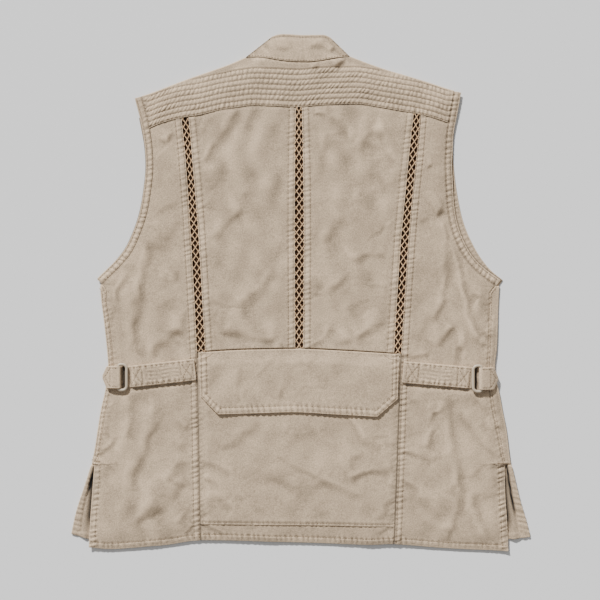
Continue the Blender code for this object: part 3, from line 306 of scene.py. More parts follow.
POUCH_FOLDS = [
    (5.8, 1.6, -59, -180, -73, -195, -93, -212, -116, -223), (3.6, 0.9, -3, -199, -14, -212, -26, -226),
    (2.9, 0.7, -19, -187, -24, -206), (5.2, 1.2, 16, -192, 30, -209, 46, -223),
    (4.3, 1.6, 66, -177, 78, -193, 88, -209, 120, -226), (2.9, 0.9, 104, -209, 130, -200),
    (2.9, 1.4, 131, -228, 117, -236), (3.7, 1.1, 87, -228, 74, -241, 64, -254),
    (4.9, 2.6, 131, -254, 111, -254, 94, -257, 66, -269), (5.8, 2.1, 22, -264, 42, -275, 64, -284, 89, -294),
    (2.3, 1.5, -33, -235, -19, -242, 2, -254, 25, -264),
    (3.7, 1.8, -144, -241, -128, -245, -114, -252, -96, -261), (3.6, 1.4, -141, -265, -125, -272, -112, -284),
    (3.2, 1.2, -137, -293, -119, -295, -105, -300), (3.5, 1.6, -108, -300, -96, -311),
    (5.8, 1.4, -59, -269, -37, -267, -21, -275, -4, -287), (4.3, 1, -98, -288, -78, -295),
    (4.3, 1.1, -65, -305, -44, -317), (3.2, 1.6, 105, -329, 118, -316, 125, -303, 138, -298),
    (3.7, 0.7, 22, -316, 42, -310), (2.9, 1.2, -144, -277, -132, -280), (2.6, 1.4, -144, -313, -131, -317),
    (4.6, 0.8, -124, -183, -138, -195), (8.6, 0.5, 42, -183, -1, -212), (10.1, 0.5, -88, -255, -1, -267),
    (2.9, 1, 121, -277, 138, -274), (2.9, 0.9, 125, -318, 137, -317), (2.9, 0.9, 123, -212, 138, -215),
]
FLAP_FOLDS = [
    (3.2, 0.9, -86, -108, -91, -133, -95, -159), (3.5, 0.9, -20, -97, -26, -128, -31, -160),
    (4.3, 0.7, -36, -87, -62, -121, -88, -154), (3.7, 0.6, -7, -91, -21, -125, -34, -153),
    (4.3, 0.5, -124, -105, -132, -133), (4.6, 0.5, 42, -100, 51, -125, 49, -154),
    (4.3, 0.6, 79, -102, 94, -131, 102, -154), (3.2, 0.8, -1, -91, 10, -105),
    (2.9, 0.8, -141, -100, -124, -95), (2.9, 0.7, 120, -97, 134, -102),
]

FOLD_SLOPE = 0.078      # slope of a fold of strength 1
LIGHT_AWAY = (0.40, -0.92)      # over x and y, away from the light

# Finishes and studio
PAINTED_SHADE_COLOUR = (0.006, 0.004, 0.003, 1)      # painted shade in joints, crevices and the rings' openings
WEAVE_SCALE = 628.32    # waves of the weave
CLOUD_SCALE = 30.0      # soft patches of its colour
YARN_SCALE = 640.0      # grain of its yarn
MOTTLE_SCALE = 300.0    # of a plain finish
MOTTLE = 0.06           # how far that changes the roughness
FLOOR_REACH = 6.0
FLOOR_DROP = -0.0005
SUN_TURN = 205.0        # the light comes from the collar's side, a little from the left
SUN_RISE = 30.0
PHOTO_WIDTH = 0.864     # width of the surface that the photograph shows
PHOTO_MIDDLE = (-0.0012, -0.0103)


def runs(line):
    """How far along a line each of its points is."""
    return np.append(0, np.cumsum(np.linalg.norm(np.diff(line, axis=0), axis=1)))


def smooth(table, step=1.0):
    """Points about a step apart on a smooth line through the table's points.

    Between two points it is the cubic whose slopes at both are the length-weighted means of the chords'.
    """
    points = np.asarray(table, float)
    run = runs(points)
    at = np.linspace(0, run[-1], max(int(run[-1] / step), 2) + 1)
    if len(points) < 3:
        return np.stack([np.interp(at, run, points[:, axis]) for axis in range(2)], axis=1)
    slope = np.gradient(points, run, axis=0)
    index = np.clip(np.searchsorted(run, at, side="right") - 1, 0, len(run) - 2)
    span = (run[index + 1] - run[index])[:, None]
    u = (at - run[index])[:, None] / span
    first, last = points[index], points[index + 1]
    return ((2 * u ** 3 - 3 * u ** 2 + 1) * first + (u ** 3 - 2 * u ** 2 + u) * span * slope[index]
            + (3 * u ** 2 - 2 * u ** 3) * last + (u ** 3 - u ** 2) * span * slope[index + 1])


def along(line, shares):
    """Points at shares of a line's length."""
    run = runs(line)
    at = np.asarray(shares) * run[-1]
    return np.stack([np.interp(at, run, line[:, axis]) for axis in range(line.shape[1])], axis=1)


def by_y(line, y):
    """x of a line at each y."""
    line = line[np.argsort(line[:, 1])]
    return np.interp(y, line[:, 1], line[:, 0])


def by_x(line, x):
    """y of a line at each x."""
    line = line[np.argsort(line[:, 0])]
    return np.interp(x, line[:, 0], line[:, 1])


def at_x(line, x):
    """Points of a line at each x."""
    return np.stack([x, by_x(line, x)], axis=1)


def at_y(line, y):
    """Points of a line at each y."""
    return np.stack([by_y(line, y), y], axis=1)


def offset(line, distance):
    """A line moved square to itself, to its left where distance is above 0."""
    way = np.gradient(line, axis=0)
    way /= np.linalg.norm(way, axis=1, keepdims=True)
    return line + distance * np.stack([-way[:, 1], way[:, 0]], axis=1)


def soft(share):
    """Smooth step from 0 to 1."""
    share = np.clip(share, 0, 1)
    return share * share * (3 - 2 * share)


def steps(length, fine, coarse, near):
    """Shares from 0 to 1, an even number of steps: fine within near of both ends and coarse in the middle."""
    place = np.linspace(0, length, 1500)
    step = fine + (coarse - fine) * soft((np.minimum(place, length - place) - near) / 12)
    count = np.append(0, np.cumsum(np.diff(place) / step[1:]))
    total = 2 * max(int(round(count[-1] / 2)), 1)
    return np.interp(np.linspace(0, count[-1], total + 1), count, place) / length


def smoothed(tables):
    """A smooth line for each side."""
    return {side: smooth(table) for side, table in tables.items()}


def coarse(line, step=14.0):
    """A line with its points about a step apart."""
    return along(line, np.linspace(0, 1, max(int(long(line) / step), 1) + 1))


def long(line):
    """Length of a line."""
    return float(np.linalg.norm(np.diff(line, axis=0), axis=1).sum())


VENT_EDGE = {(side, edge): smooth([(row[edge], row[0]) for row in rows])
             for side, rows in VENTS.items() for edge in (1, 2)}
HEM_LINE = smooth(HEM_BACK)
YOKE_LINE = smooth(YOKE_SEAM)
WAIST_LINE = smooth(WAIST_SEAM)
POUCH_LINE = smooth(POUCH_BOTTOM)
PRINCESS_LINE = smoothed(PRINCESS)
SEAM_LINE = {side: smooth([(seam, y) for y, _fold, seam in rows]) for side, rows in SIDE.items()}
FOLD_LINE = {side: smooth([(fold, y) for y, fold, _seam in rows]) for side, rows in SIDE.items()}
SLIT_LINE = smoothed(SLIT_BACK)
SLIT_FRONT_LINE = smoothed(SLIT_FRONT)
COLLAR_LINE = smooth(COLLAR_SEAM)
BAND_OUTER = smoothed(ARMHOLE)
BAND_INNER = {side: offset(BAND_OUTER[side], INWARD[side] * BAND_WIDTH) for side in SIDES}
FRONT_OUTER = smoothed(FRONT_ARMHOLE)
FRONT_INNER = {side: offset(FRONT_OUTER[side], INWARD[side] * BAND_WIDTH) for side in SIDES}
EDGES = {side: np.vstack([SLIT_LINE[side], FOLD_LINE[side], BAND_OUTER[side], smooth(SHOULDER[side]),
                          smooth(COLLAR_SLOPE[side])]) for side in SIDES}
EDGE_ABOVE = np.vstack([smooth(SHOULDER["left"]), smooth(COLLAR_TOP), smooth(SHOULDER["right"])])


def from_edges(x, y):
    """Distances from the left, right, upper and lower outline of the back."""
    return np.stack([x - by_y(EDGES["left"], y), by_y(EDGES["right"], y) - x,
                     by_x(EDGE_ABOVE, x) - y, y - by_x(HEM_LINE, x)])


def level(x, y):
    """Plain top of the back: its edges lie low, and it rises over a set distance from each.

    It is the edge's height plus the rise times the product, over the four edges, of
    1 - (1 - distance / soft) squared.
    """
    share = np.clip((from_edges(x, y) - TURN) / SOFT, 0, 1)
    return EDGE_TOP + RISE * np.prod(1 - (1 - share) ** 2, axis=0)


def edge_fade(x, y):
    """0 at the outline of the back and 1 a little way in."""
    return soft(from_edges(x, y).min(axis=0) / 9)


def bell(distance, width):
    """1 at a distance of 0, falling off as exp(-(distance / width) squared)."""
    return np.exp(-(distance / width) ** 2)


def beside(line, x, y):
    """Distance from a line, above 0 on its left, the run along it, and how far past its ends a place is."""
    way = np.diff(line, axis=0)
    span = np.linalg.norm(way, axis=1)
    way /= span[:, None]
    start = runs(line)
    best = np.full(x.shape, np.inf)
    away, run, past = np.zeros(x.shape), np.zeros(x.shape), np.zeros(x.shape)
    for index, ((x0, y0), (ux, uy)) in enumerate(zip(line[:-1], way)):
        ahead = (x - x0) * ux + (y - y0) * uy
        held = np.clip(ahead, 0, span[index])
        gap2 = (x - x0 - held * ux) ** 2 + (y - y0 - held * uy) ** 2
        closer = gap2 < best
        best = np.where(closer, gap2, best)
        away = np.where(closer, ux * (y - y0) - uy * (x - x0), away)
        run = np.where(closer, start[index] + held, run)
        over = np.zeros(x.shape)
        if index == 0:
            over = np.maximum(over, -ahead)
        if index == len(way) - 1:
            over = np.maximum(over, ahead - span[index])
        past = np.where(closer, over, past)
    return away, run, past


def near_line(line, reach, x, y):
    """Where x and y lie within reach of a line's box."""
    low, high = line.min(0) - reach, line.max(0) + reach
    return (x > low[0]) & (x < high[0]) & (y > low[1]) & (y < high[1])


def folds(table, x, y):
    """Sum of the folds of a table.

    Across its line each is -slope * distance * exp(-distance squared / (2 width squared)), a ridge towards
    the light and a trough away from it, plus the same at 2.3 times the width and 0.65 times the slope. It
    fades at both ends of the line, and place, width and height wander a little along it.
    """
    shift = 1.1 * np.sin(x / 7.3 + 1.7 * np.sin(y / 11.1)) + 0.7 * np.sin(y / 4.9 + 1.3 * np.sin(x / 6.1))
    x, y = x + shift, y + 0.9 * np.sin(y / 8.7 + 1.5 * np.sin(x / 9.7)) - 0.5 * shift
    total = np.zeros(x.shape)
    for number, (width, slope, *points) in enumerate(table):
        line = smooth(np.reshape(points, (-1, 2)), 4.0)
        near = near_line(line, 6.5 * width, x, y)
        if not near.any():
            continue
        away, run, past = beside(line, x[near], y[near])
        left = np.array((line[0, 1] - line[-1, 1], line[-1, 0] - line[0, 0]))
        if left @ np.array(LIGHT_AWAY) < 0:
            away = -away
        length = long(line)
        taper = min(0.45 * length, 3.0 * width)
        ends = soft((run + 0.2 * taper) / taper) * soft((length - run + 0.2 * taper) / taper)
        ends *= bell(past, width)
        spread = width * (1 + 0.25 * math.sin(2.4 * number) * np.tanh(away / width))
        spread *= 1 + 0.22 * np.sin(run / 13 + number)
        ends *= 1 + 0.3 * np.sin(run / 9.3 + 2.7 * number)
        shape = np.exp(-away ** 2 / (2 * spread ** 2)) + 0.65 * np.exp(-away ** 2 / (2 * (2.3 * spread) ** 2))
        total[near] -= FOLD_SLOPE * slope * ends * away * shape
    return total


def waves(seed, count, shortest, longest, slope, x, y):
    """Sum of waves of many directions and lengths, each sin(2 pi place / length) with a bent front.

    A wave's height is slope * length / (2 pi), so that all are equally steep.
    """
    random = np.random.default_rng(seed)
    total = np.zeros(x.shape)
    for _wave in range(count):
        length = shortest * (longest / shortest) ** random.random()
        turn, shift, bend = random.uniform(0, 2 * math.pi, 3)
        place = x * math.cos(turn) + y * math.sin(turn)
        side = y * math.cos(turn) - x * math.sin(turn)
        bent = 1.2 * np.sin(2 * math.pi * side / (2.3 * length) + bend)
        total += slope / (2 * math.pi) * length * np.sin(2 * math.pi * place / length + shift + bent)
    return total


def unevenness(x, y):
    """Washed cloth: waves of 30 to 180 mm, and waves of 4.5 to 14 mm whose height comes and goes."""
    swells = waves(11, 22, 30, 180, 0.019, x, y)
    crumples = waves(5, 26, 4.5, 14, 0.0068, x, y)
    return swells + crumples * (0.75 + 0.45 * np.sin(x / 37 + 1.3) * np.sin(y / 29))


def ripple(run, seed, pitch=PUCKER):
    """Uneven puckers along a seam: height * tanh(1.9 sin(phase) + 0.4), plus a finer wave.

    Crests are a little wider than troughs. The phase is 2 pi run / pitch and wanders, and so does the height.
    """
    turn = 2 * math.pi * run / pitch
    phase = turn + 0.9 * np.sin(turn / 4.7 + seed) + 0.6 * np.sin(turn / 2.3 + 2 * seed)
    height = 0.74 + 0.26 * np.sin(turn / 8.9 + 2.1 * seed)
    return height * np.tanh(1.9 * np.sin(phase) + 0.4) + 0.18 * np.sin(turn * 1.87 + 5 * seed)


def sewn_row(line, stitches, band, height=0.5, pucker=0.22, out=4.0, back=3.0, slant=0.25):
    """A sewn edge: its line, its stitch lines' distances to the left of it, and the raised band between.

    Its puckers fade over out beyond the band and over back behind the line, and slant across it.
    """
    return {"line": line, "stitches": stitches, "band": band, "height": height, "pucker": pucker,
            "out": out, "back": back, "slant": slant}


def sewing(rows, x, y):
    """Relief of sewn edges, from the distance to each line and the run along it.

    It is the band's height between two smooth steps, less the groove's depth times a bell at each stitch
    line, plus the pucker's height times ripple(run + slant * distance), which fades on both sides.
    """
    total = np.zeros(x.shape)
    for number, row in enumerate(rows):
        band = row["band"]
        near = near_line(row["line"], band + 3 * row["out"], x, y)
        if not near.any():
            continue
        away, run, past = beside(row["line"], x[near], y[near])
        shape = row["height"] * soft(away / 1.2 + 1) * soft((band - away) / 1.6 + 0.5)
        for distance in row["stitches"]:
            shape -= GROOVE * bell(away - distance, 0.95)
        reach = np.where(away > band, bell(away - band, row["out"]), 1.0)
        reach = np.where(away < 0, bell(away, row["back"]), reach)
        reach *= 0.38 + 0.62 * soft(away / 1.4 + 0.5) * soft((band - away) / 1.8 + 0.4)
        shape += PUCKER_RISE * row["pucker"] * reach * ripple(run + row["slant"] * away, number * 1.37)
        total[near] += shape * bell(past, 1.5)
    return total


def band_seam(side):
    """Inner line of an armhole band, with the band on its left."""
    line = coarse(BAND_INNER[side])
    return line[::-1] if side == "left" else line


def back_rows():
    """Sewn edges of the back: vents, princess seams, armhole bands, side seams, slits and hem."""
    rows = []
    for (_vent, edge), line in VENT_EDGE.items():
        line = line[np.argsort(line[:, 1])]
        rows.append(sewn_row(coarse(line if edge == 1 else line[::-1]), (1.6, 9.6), 10.6,
                             pucker=0.15, out=2.5, back=2.0))
    rows.append(sewn_row(coarse(PRINCESS_LINE["left"][::-1], 60), (1.7, 9.1), 10.2, 0.55, 0.2, 3.0))
    rows.append(sewn_row(coarse(PRINCESS_LINE["right"], 60), (3.2, 9.8), 11.0, 0.55, 0.2, 3.0))
    for side in SIDES:
        rows.append(sewn_row(band_seam(side), (1.3, 8.2), BAND_WIDTH, pucker=0.23, out=3.0, back=2.2))
        seam, slit = coarse(SEAM_LINE[side]), coarse(SLIT_LINE[side])
        seam = seam[np.argsort(seam[:, 1])]
        if side == "left":
            rows.append(sewn_row(seam, (1.4, 6.0), 7.0, 0.25, 0.24, 3.0, 6.0))
        else:
            rows += [sewn_row(line, (1.5,), 2.6, 0.2, 0.13, out)
                     for line, out in ((seam[::-1], 3.0), (seam, 6.0))]
            slit = slit[::-1]
        rows.append(sewn_row(slit, (8.9,), 10.2, pucker=0.36, out=2.0))
    rows.append(sewn_row(coarse(HEM_LINE), (8.6,), 9.6, 0.35, 0.32, 2.5))
    return rows


BACK_ROWS = back_rows()
YOKE_ROWS = [sewn_row(coarse(YOKE_LINE), (1.9,), 3.0, 0.25, 0.12, 3.0, 7.0)]
YOKE_ROWS += [sewn_row(band_seam(side), (1.3, 8.2), BAND_WIDTH, 0.3, 0.25, 2.0, 2.0) for side in SIDES]
YOKE_ROWS += [sewn_row(coarse(COLLAR_LINE)[::-1], (), 0.1, 0.0, 0.06, 6.0)]
WAIST_ROWS = [sewn_row(coarse(WAIST_LINE)[::-1], (), 2.0, 0.1, 0.22, 5.0, 6.0)]
# Painted shade along the joints of sewn pieces: each line with the strength of its shade.
PAINTED_SEAM_SHADE = [(coarse(line, 8), strength) for line, strength in (
    (YOKE_LINE, 0.62), (WAIST_LINE, 0.55), (COLLAR_LINE, 0.6), (BAND_INNER["left"], 0.6),
    (BAND_INNER["right"], 0.6), (SEAM_LINE["left"], 0.3), (SEAM_LINE["right"], 0.3))]
PAINTED_SEAM_SHADE += [(coarse(PRINCESS_LINE["left"], 60), 0.85), (coarse(PRINCESS_LINE["right"], 60), 0.95)]


def quilting(x, y):
    """Relief of the yoke: channels between parallel stitch lines, each with its own short slanted puckers.

    Within a channel the height is the rise times an arch, 1 - |2 share - 1| to the power of 2.4. The puckers
    are ripple(1.04 x - slant * height in the channel); each channel has its own shift, seed and strength.
    """
    above = y - by_x(YOKE_LINE, x)
    lines = np.array(QUILT_LINES)
    channel = np.clip(np.searchsorted(lines, above) - 1, 0, len(lines) - 2)
    share = np.clip((above - lines[channel]) / (lines[channel + 1] - lines[channel]), 0, 1)
    arch = 1 - np.abs(2 * share - 1) ** 2.4
    shift = 5.3 * channel + 2.9 * np.sin(3.1 * channel)
    slant = 0.45 + 0.4 * np.sin(x / 45 + 0.5)
    bumps = ripple(x * 1.04 - slant * (above - lines[channel]) + shift, 0.7 + 1.9 * channel, 6.6)
    bumps *= 0.75 + 0.35 * np.sin(x / 21 + 2.2 * channel)
    relief = QUILT_RISE * (arch - 0.7) + 0.56 * arch ** 0.6 * bumps
    plain = soft((above - lines[-1]) / 2.5)
    return (relief * (1 - plain) + 0.1 * QUILT_RISE * plain) * soft(above / 1.5)


def vest_top(x, y, yoke=False, collar=False):
    """Height of the back: its plain top, plus its folds and sewing.

    Near the outline the relief fades to 0.45 of its height and 0.3 of its depth. Beside the yoke's seam the
    yoke is a bell of 0.45 high and the cloth below it a dip of 0.55.
    """
    height = unevenness(x, y)
    if yoke:
        height += 2.4 * folds(UPPER_FOLDS, x, y) + quilting(x, y) + sewing(YOKE_ROWS, x, y)
        height += 0.45 * bell(y - by_x(YOKE_LINE, x), 4)
        height -= 0.6 * bell(by_x(COLLAR_LINE, x) - y, 2.2) * (np.abs(x) < 85)
    elif collar:
        height += 3.2 * folds(UPPER_FOLDS, x, y) + collar_relief(x, y)
    else:
        height += folds(BACK_FOLDS, x, y) + sewing(BACK_ROWS, x, y) + sewing(WAIST_ROWS, x, y)
        under = by_x(YOKE_LINE, x) - y
        height += sewing(YOKE_ROWS[:1], x, y) - 0.55 * bell(np.maximum(under, 0), 2.2)
        height -= strap_trough(x, y)
    fade = edge_fade(x, y)
    low = np.where(height < 0, height * (0.3 + 0.7 * fade), height * (0.45 + 0.55 * fade))
    return np.maximum(level(x, y) + low, EDGE_TOP - 0.35 * (1 - fade))


def strap_trough(x, y):
    """Trough of the cloth along the lower edge of each waist strap: a bell 2 mm below that edge."""
    total = np.zeros(x.shape)
    for x0, y0, x1, y1, width in STRAPS.values():
        share = (x - x0) / (x1 - x0)
        below = y0 + share * (y1 - y0) - width / 2 - y
        ends = soft(share * 12) * soft((1.12 - share) * 9)
        total += 1.1 * ends * bell(below - 2.0, 3.4) * (0.8 + 0.2 * np.sin(share * 23))
    return total


def seam_shade(x, y):
    """Shade in the joint of two sewn pieces: the greatest of each seam's strength times a bell across it."""
    total = np.zeros(x.shape)
    for line, strength in PAINTED_SEAM_SHADE:
        near = near_line(line, 3.0, x, y)
        if near.any():
            away, _run, past = beside(line, x[near], y[near])
            total[near] = np.maximum(total[near], strength * bell(away, 1.0) * bell(past, 1.5))
    return total


def collar_relief(x, y):
    """Collar: a swelling with puckers above its seam and under its folded top, where a stitch line sinks.

    Each is a bell of the distance from its line, and so is the faint seam down the middle.
    """
    above = y - by_x(COLLAR_LINE, x)
    under = by_x(EDGE_ABOVE, x) - y
    relief = 0.5 * bell(above, 3.5) - 0.2 * bell(under - COLLAR_RIM, 0.9)
    relief += 0.16 * bell(above, 6) * ripple(x, 2.0) + 0.3 * bell(under, 5) * ripple(x, 4.0)
    return relief - 0.25 * bell(x - 3.0, 1.6)


def pouch_lift(x, y):
    """How far the pouch stands above the back: low at its seams, then a step, then a soft swelling.

    The step is the product of two smooth steps from its edges, the swelling sin(pi across) sin(pi up).
    """
    left, right = by_y(PRINCESS_LINE["left"], y), by_y(PRINCESS_LINE["right"], y)
    above = y - by_x(POUCH_LINE, x)
    step = soft(np.minimum(x - left, right - x) / 13) * soft(above / 14 + 0.35)
    across = np.clip((x - left) / (right - left), 0, 1)
    up = np.clip(above / (POUCH_TOP - POUCH_FOOT), 0, 1)
    return POUCH_LOW + POUCH_LIFT * step + POUCH_PUFF * np.sin(math.pi * across) * np.sin(math.pi * up)


def pouch_rows():
    """Sewn edges of the pouch: puckers beside both princess seams, and its lower edge."""
    rows = [sewn_row(coarse(line, 60), (), 0.1, 0.0, 0.3, 7.0, 3.0, 0.5)
            for line in (PRINCESS_LINE["left"], PRINCESS_LINE["right"][::-1])]
    return rows + [sewn_row(coarse(POUCH_LINE, 30), (3.4,), 4.4, 0.2, 0.16)]


def flap_rows():
    """Sewn edges of the flap: both sides, both cut-off corners and the lower edge."""
    outline = np.array(FLAP_BOTTOM, float)
    return [sewn_row(smooth(FLAP_SIDE["left"][::-1], 30)[::-1], (3.2, 10.4), 11.4, 0.35, 0.22, 3.0),
            sewn_row(smooth(FLAP_SIDE["right"], 30)[::-1], (3.2, 8.6), 9.8, 0.35, 0.22, 3.0),
            sewn_row(outline[:2], (1.8, 8.4), 9.6, 0.45, 0.18, 2.0),
            sewn_row(coarse(smooth(outline[1:-1]), 20), (1.8, 9.4), 10.6, 0.45, 0.28, 2.0),
            sewn_row(outline[-2:], (1.8, 8.4), 9.6, 0.45, 0.18, 2.0)]


POUCH_ROWS = pouch_rows()
FLAP_ROWS = flap_rows()


def pouch_top(x, y):
    """Height of the pouch: its lift above the plain back, its folds and its sewing."""
    relief = folds(POUCH_FOLDS, x, y) + sewing(POUCH_ROWS, x, y) + 0.92 * unevenness(x, y)
    return level(x, y) + pouch_lift(x, y) + relief


def flap_top(x, y):
    """Height of the flap: sewn in at the waist, over the pouch, with its lower edge standing up a little.

    The edge's lift is FLAP_LIFT times (distance below the waist / 92) squared.
    """
    down = by_x(WAIST_LINE, x) - y
    lap = soft(down / 24 + 0.1)
    lift = FLAP_LIFT * np.clip(down / 92, 0, 1.1) ** 2
    relief = folds(FLAP_FOLDS, x, y) + sewing(FLAP_ROWS, x, y) + 0.95 * unevenness(x, y)
    relief += sewing(WAIST_ROWS, x, y) * 1.1
    over = pouch_lift(x, np.maximum(y, POUCH_FLAT)) + FLAP_LAP - SEAM_GAP
    return level(x, y) + SEAM_GAP + over * lap + lift + relief


def unit(vectors):
    """Vectors scaled to a length of 1."""
    return vectors / np.maximum(np.linalg.norm(vectors, axis=-1, keepdims=True), 1e-12)


def even(length, step):
    """Equal shares from 0 to 1, an even number of them, about a step apart."""
    return np.linspace(0, 1, 2 * max(int(round(length / step / 2)), 1) + 1)


def patch(left, right, bottom, top, s, t, gaps=(INSET, INSET, INSET, INSET)):
    """Grid between four edges sampled at shares s and t: both rulings added, less the blend of the corners.

    left and right run upward, bottom and top to the right, and each is drawn in by its own gap.
    """
    square = []
    for edge, sign in ((left, -1), (right, 1), (bottom, 1), (top, -1)):
        way = unit(np.gradient(edge, axis=0))
        square.append(sign * np.stack([-way[:, 1], way[:, 0]], axis=1))
    moved = [edge + gap * side for edge, gap, side in zip((left, right, bottom, top), gaps, square)]
    corners = {}
    for column in (0, -1):
        for row in (0, -1):
            upright, level_edge = (0, 1)[column], (2, 3)[row]
            corner = (left, right)[column][row]
            corners[column, row] = (corner + gaps[upright] * square[upright][row]
                                    + gaps[level_edge] * square[level_edge][column])
    for index, shares, ends in ((0, t, ((0, 0), (0, -1))), (1, t, ((-1, 0), (-1, -1))),
                                (2, s, ((0, 0), (-1, 0))), (3, s, ((0, -1), (-1, -1)))):
        first, last = corners[ends[0]], corners[ends[1]]
        edge, share = moved[index], shares[:, None]
        moved[index] = edge + (1 - share) * (first - edge[0]) + share * (last - edge[-1])
    left, right, bottom, top = moved
    s, t = s[None, :, None], t[:, None, None]
    ruled = (1 - s) * left[:, None] + s * right[:, None] + (1 - t) * bottom[None] + t * top[None]
    blend = (1 - t) * ((1 - s) * left[0] + s * right[0]) + t * ((1 - s) * left[-1] + s * right[-1])
    return ruled - blend


def lifted(points, height):
    """Points with a third coordinate."""
    return np.dstack([points, np.broadcast_to(height, points.shape[:2])])


def cloth(points, height, wall=WALL):
    """Upper and lower skin of cloth at a height over x and y."""
    return lifted(points, height), lifted(points, height - wall)


def worn_and_shaded(height, reach=3):
    """Washed look and painted shading of a skin: above one half on its ridges, faded cloth and a painted
    highlight, and below it in its troughs, painted shade.

    It is 0.5 plus 1.3 times the height less its mean over a square of 2 reach + 1 points.
    """
    size = 2 * reach + 1
    wide = np.pad(height, reach, mode="edge")
    for axis in (0, 1):
        total = np.cumsum(np.insert(wide, 0, 0, axis=axis), axis=axis)
        wide = (np.take(total, range(size, total.shape[axis]), axis=axis)
                - np.take(total, range(total.shape[axis] - size), axis=axis)) / size
    return np.clip(0.5 + 1.3 * (height - wide), 0, 1)


def linked(name, data):
    """An object of some data, in the scene."""
    made = bpy.data.objects.new(name, data)
    bpy.context.scene.collection.objects.link(made)
    return made


def make_mesh(name, points, slots, valid, shades, finish, deep=None):
    """A smooth mesh from points in millimetres and rows of corner indices, of which the valid ones count."""
    used, corners = np.unique(slots[valid], return_inverse=True)
    data = bpy.data.meshes.new(name)
    data.vertices.add(len(used))
    data.vertices.foreach_set("co", (points[used] * MM).ravel())
    data.loops.add(len(corners))
    data.loops.foreach_set("vertex_index", corners.ravel().astype(np.int32))
    sides = valid.sum(axis=1)
    data.polygons.add(len(slots))
    data.polygons.foreach_set("loop_start", (np.cumsum(sides) - sides).astype(np.int32))
    data.polygons.foreach_set("use_smooth", np.ones(len(slots), bool))
    # Per point: the wear attribute (fading, painted highlight and painted shade on the relief), then the
    # painted shade of joints and crevices.
    wear = data.attributes.new("wear", "FLOAT", "POINT")
    wear.data.foreach_set("value", shades[used])
    if deep is not None:
        data.attributes.new("deep", "FLOAT", "POINT").data.foreach_set("value", deep[used].astype(np.float32))
    data.materials.append(finish)
    data.update(calc_edges=True)
    data.validate()
    return linked(name, data)


def border(faces, count):
    """Start and end of each side that belongs to one face only."""
    start, end = faces.ravel(), np.roll(faces, -1, axis=1).ravel()
    alone = ~np.isin(start * count + end, end * count + start)
    return start[alone], end[alone]


def wide_faces(index):
    """Faces over two rows and two columns each, and which of their eight corners count.

    Corners in the middle of a side count only along the edge of the grid.
    """
    low, mid, high = slice(0, -2, 2), slice(1, -1, 2), slice(2, None, 2)
    eight = np.stack([index[low, low], index[mid, low], index[high, low], index[high, mid],
                      index[high, high], index[mid, high], index[low, high], index[low, mid]], axis=-1)
    shown = np.ones(eight.shape, bool)
    shown[..., 1::2] = False
    shown[:, 0, 1] = True
    shown[-1, :, 3] = True
    shown[:, -1, 5] = True
    shown[0, :, 7] = True
    return eight.reshape(-1, 8), shown.reshape(-1, 8)


def shell(name, outer, inner, finish, kept=None, deep=None):
    """Closed cloth between two skins, with half-round edges.

    Each edge has three more rings at 45, 90 and 135 degrees: middle + cos(angle) half + sin(angle) |half|
    out. Without a mask of the quads to keep, the inner skin has every second row and column only.
    """
    whole = kept is None
    if whole:
        kept = np.ones((outer.shape[0] - 1, outer.shape[1] - 1), bool)
    across = np.cross(outer[:-1, 1:] - outer[:-1, :-1], outer[1:, :-1] - outer[:-1, :-1])
    if np.sum((across * (outer - inner)[:-1, :-1])[kept]) < 0:
        outer, inner, kept = outer[:, ::-1], inner[:, ::-1], kept[:, ::-1]
        deep = None if deep is None else deep[:, ::-1]
    rows, columns = outer.shape[:2]
    count = rows * columns
    index = np.arange(count).reshape(rows, columns)
    upper = np.stack([index[:-1, :-1], index[:-1, 1:], index[1:, 1:], index[1:, :-1]], axis=-1)[kept]
    start, end = border(upper, count)
    following, before = np.full(count, -1), np.full(count, -1)
    following[start], before[end] = end, start
    flat_outer, flat_inner = outer.reshape(-1, 3), inner.reshape(-1, 3)
    normal = unit(np.cross(np.gradient(outer, axis=1), np.gradient(outer, axis=0))).reshape(-1, 3)
    way = unit(flat_outer[following[start]] - flat_outer[before[start]])
    out = unit(np.cross(way, normal[start]))
    half = (flat_outer[start] - flat_inner[start]) / 2
    middle = flat_inner[start] + half
    thick = np.linalg.norm(half, axis=1, keepdims=True)
    rings = [middle + math.cos(a) * half + math.sin(a) * thick * out for a in np.radians((45, 90, 135))]
    place = np.full(count, -1)
    place[start] = np.arange(len(start))
    ladder = [(start, end)]
    for ring in range(len(rings)):
        base = 2 * count + ring * len(start)
        ladder.append((base + place[start], base + place[end]))
    ladder.append((count + start, count + end))
    rim = [np.stack([b0, a0, a1, b1], axis=1) for (a0, b0), (a1, b1) in zip(ladder[:-1], ladder[1:])]
    wide = whole and rows % 2 and columns % 2
    lower = [] if wide else [count + upper[:, ::-1]]
    slots = np.pad(np.concatenate([upper] + rim + lower), ((0, 0), (0, 4)))
    valid = np.zeros(slots.shape, bool)
    valid[:, :4] = True
    if wide:
        eight, shown = wide_faces(count + index)
        slots, valid = np.concatenate([slots, eight]), np.concatenate([valid, shown])
    points = np.concatenate([flat_outer, flat_inner] + rings)
    # Rims and the border of the upper skin are made nearly lightest: edges rubbed pale, and a painted
    # highlight.
    rim_wear_and_highlight = np.ones(len(rings) * len(start))
    shades = np.concatenate([worn_and_shaded(outer[..., 2]).ravel(), np.full(count, 0.5), rim_wear_and_highlight])
    shades[start] = np.maximum(shades[start], 0.95)
    # Painted shade of joints and crevices, carried onto the rim rings.
    if deep is not None:
        deep = deep.ravel()
        deep = np.concatenate([deep, deep] + [deep[start]] * len(rings))
    return make_mesh(name, points, slots, valid, shades.astype(np.float32), finish, deep)


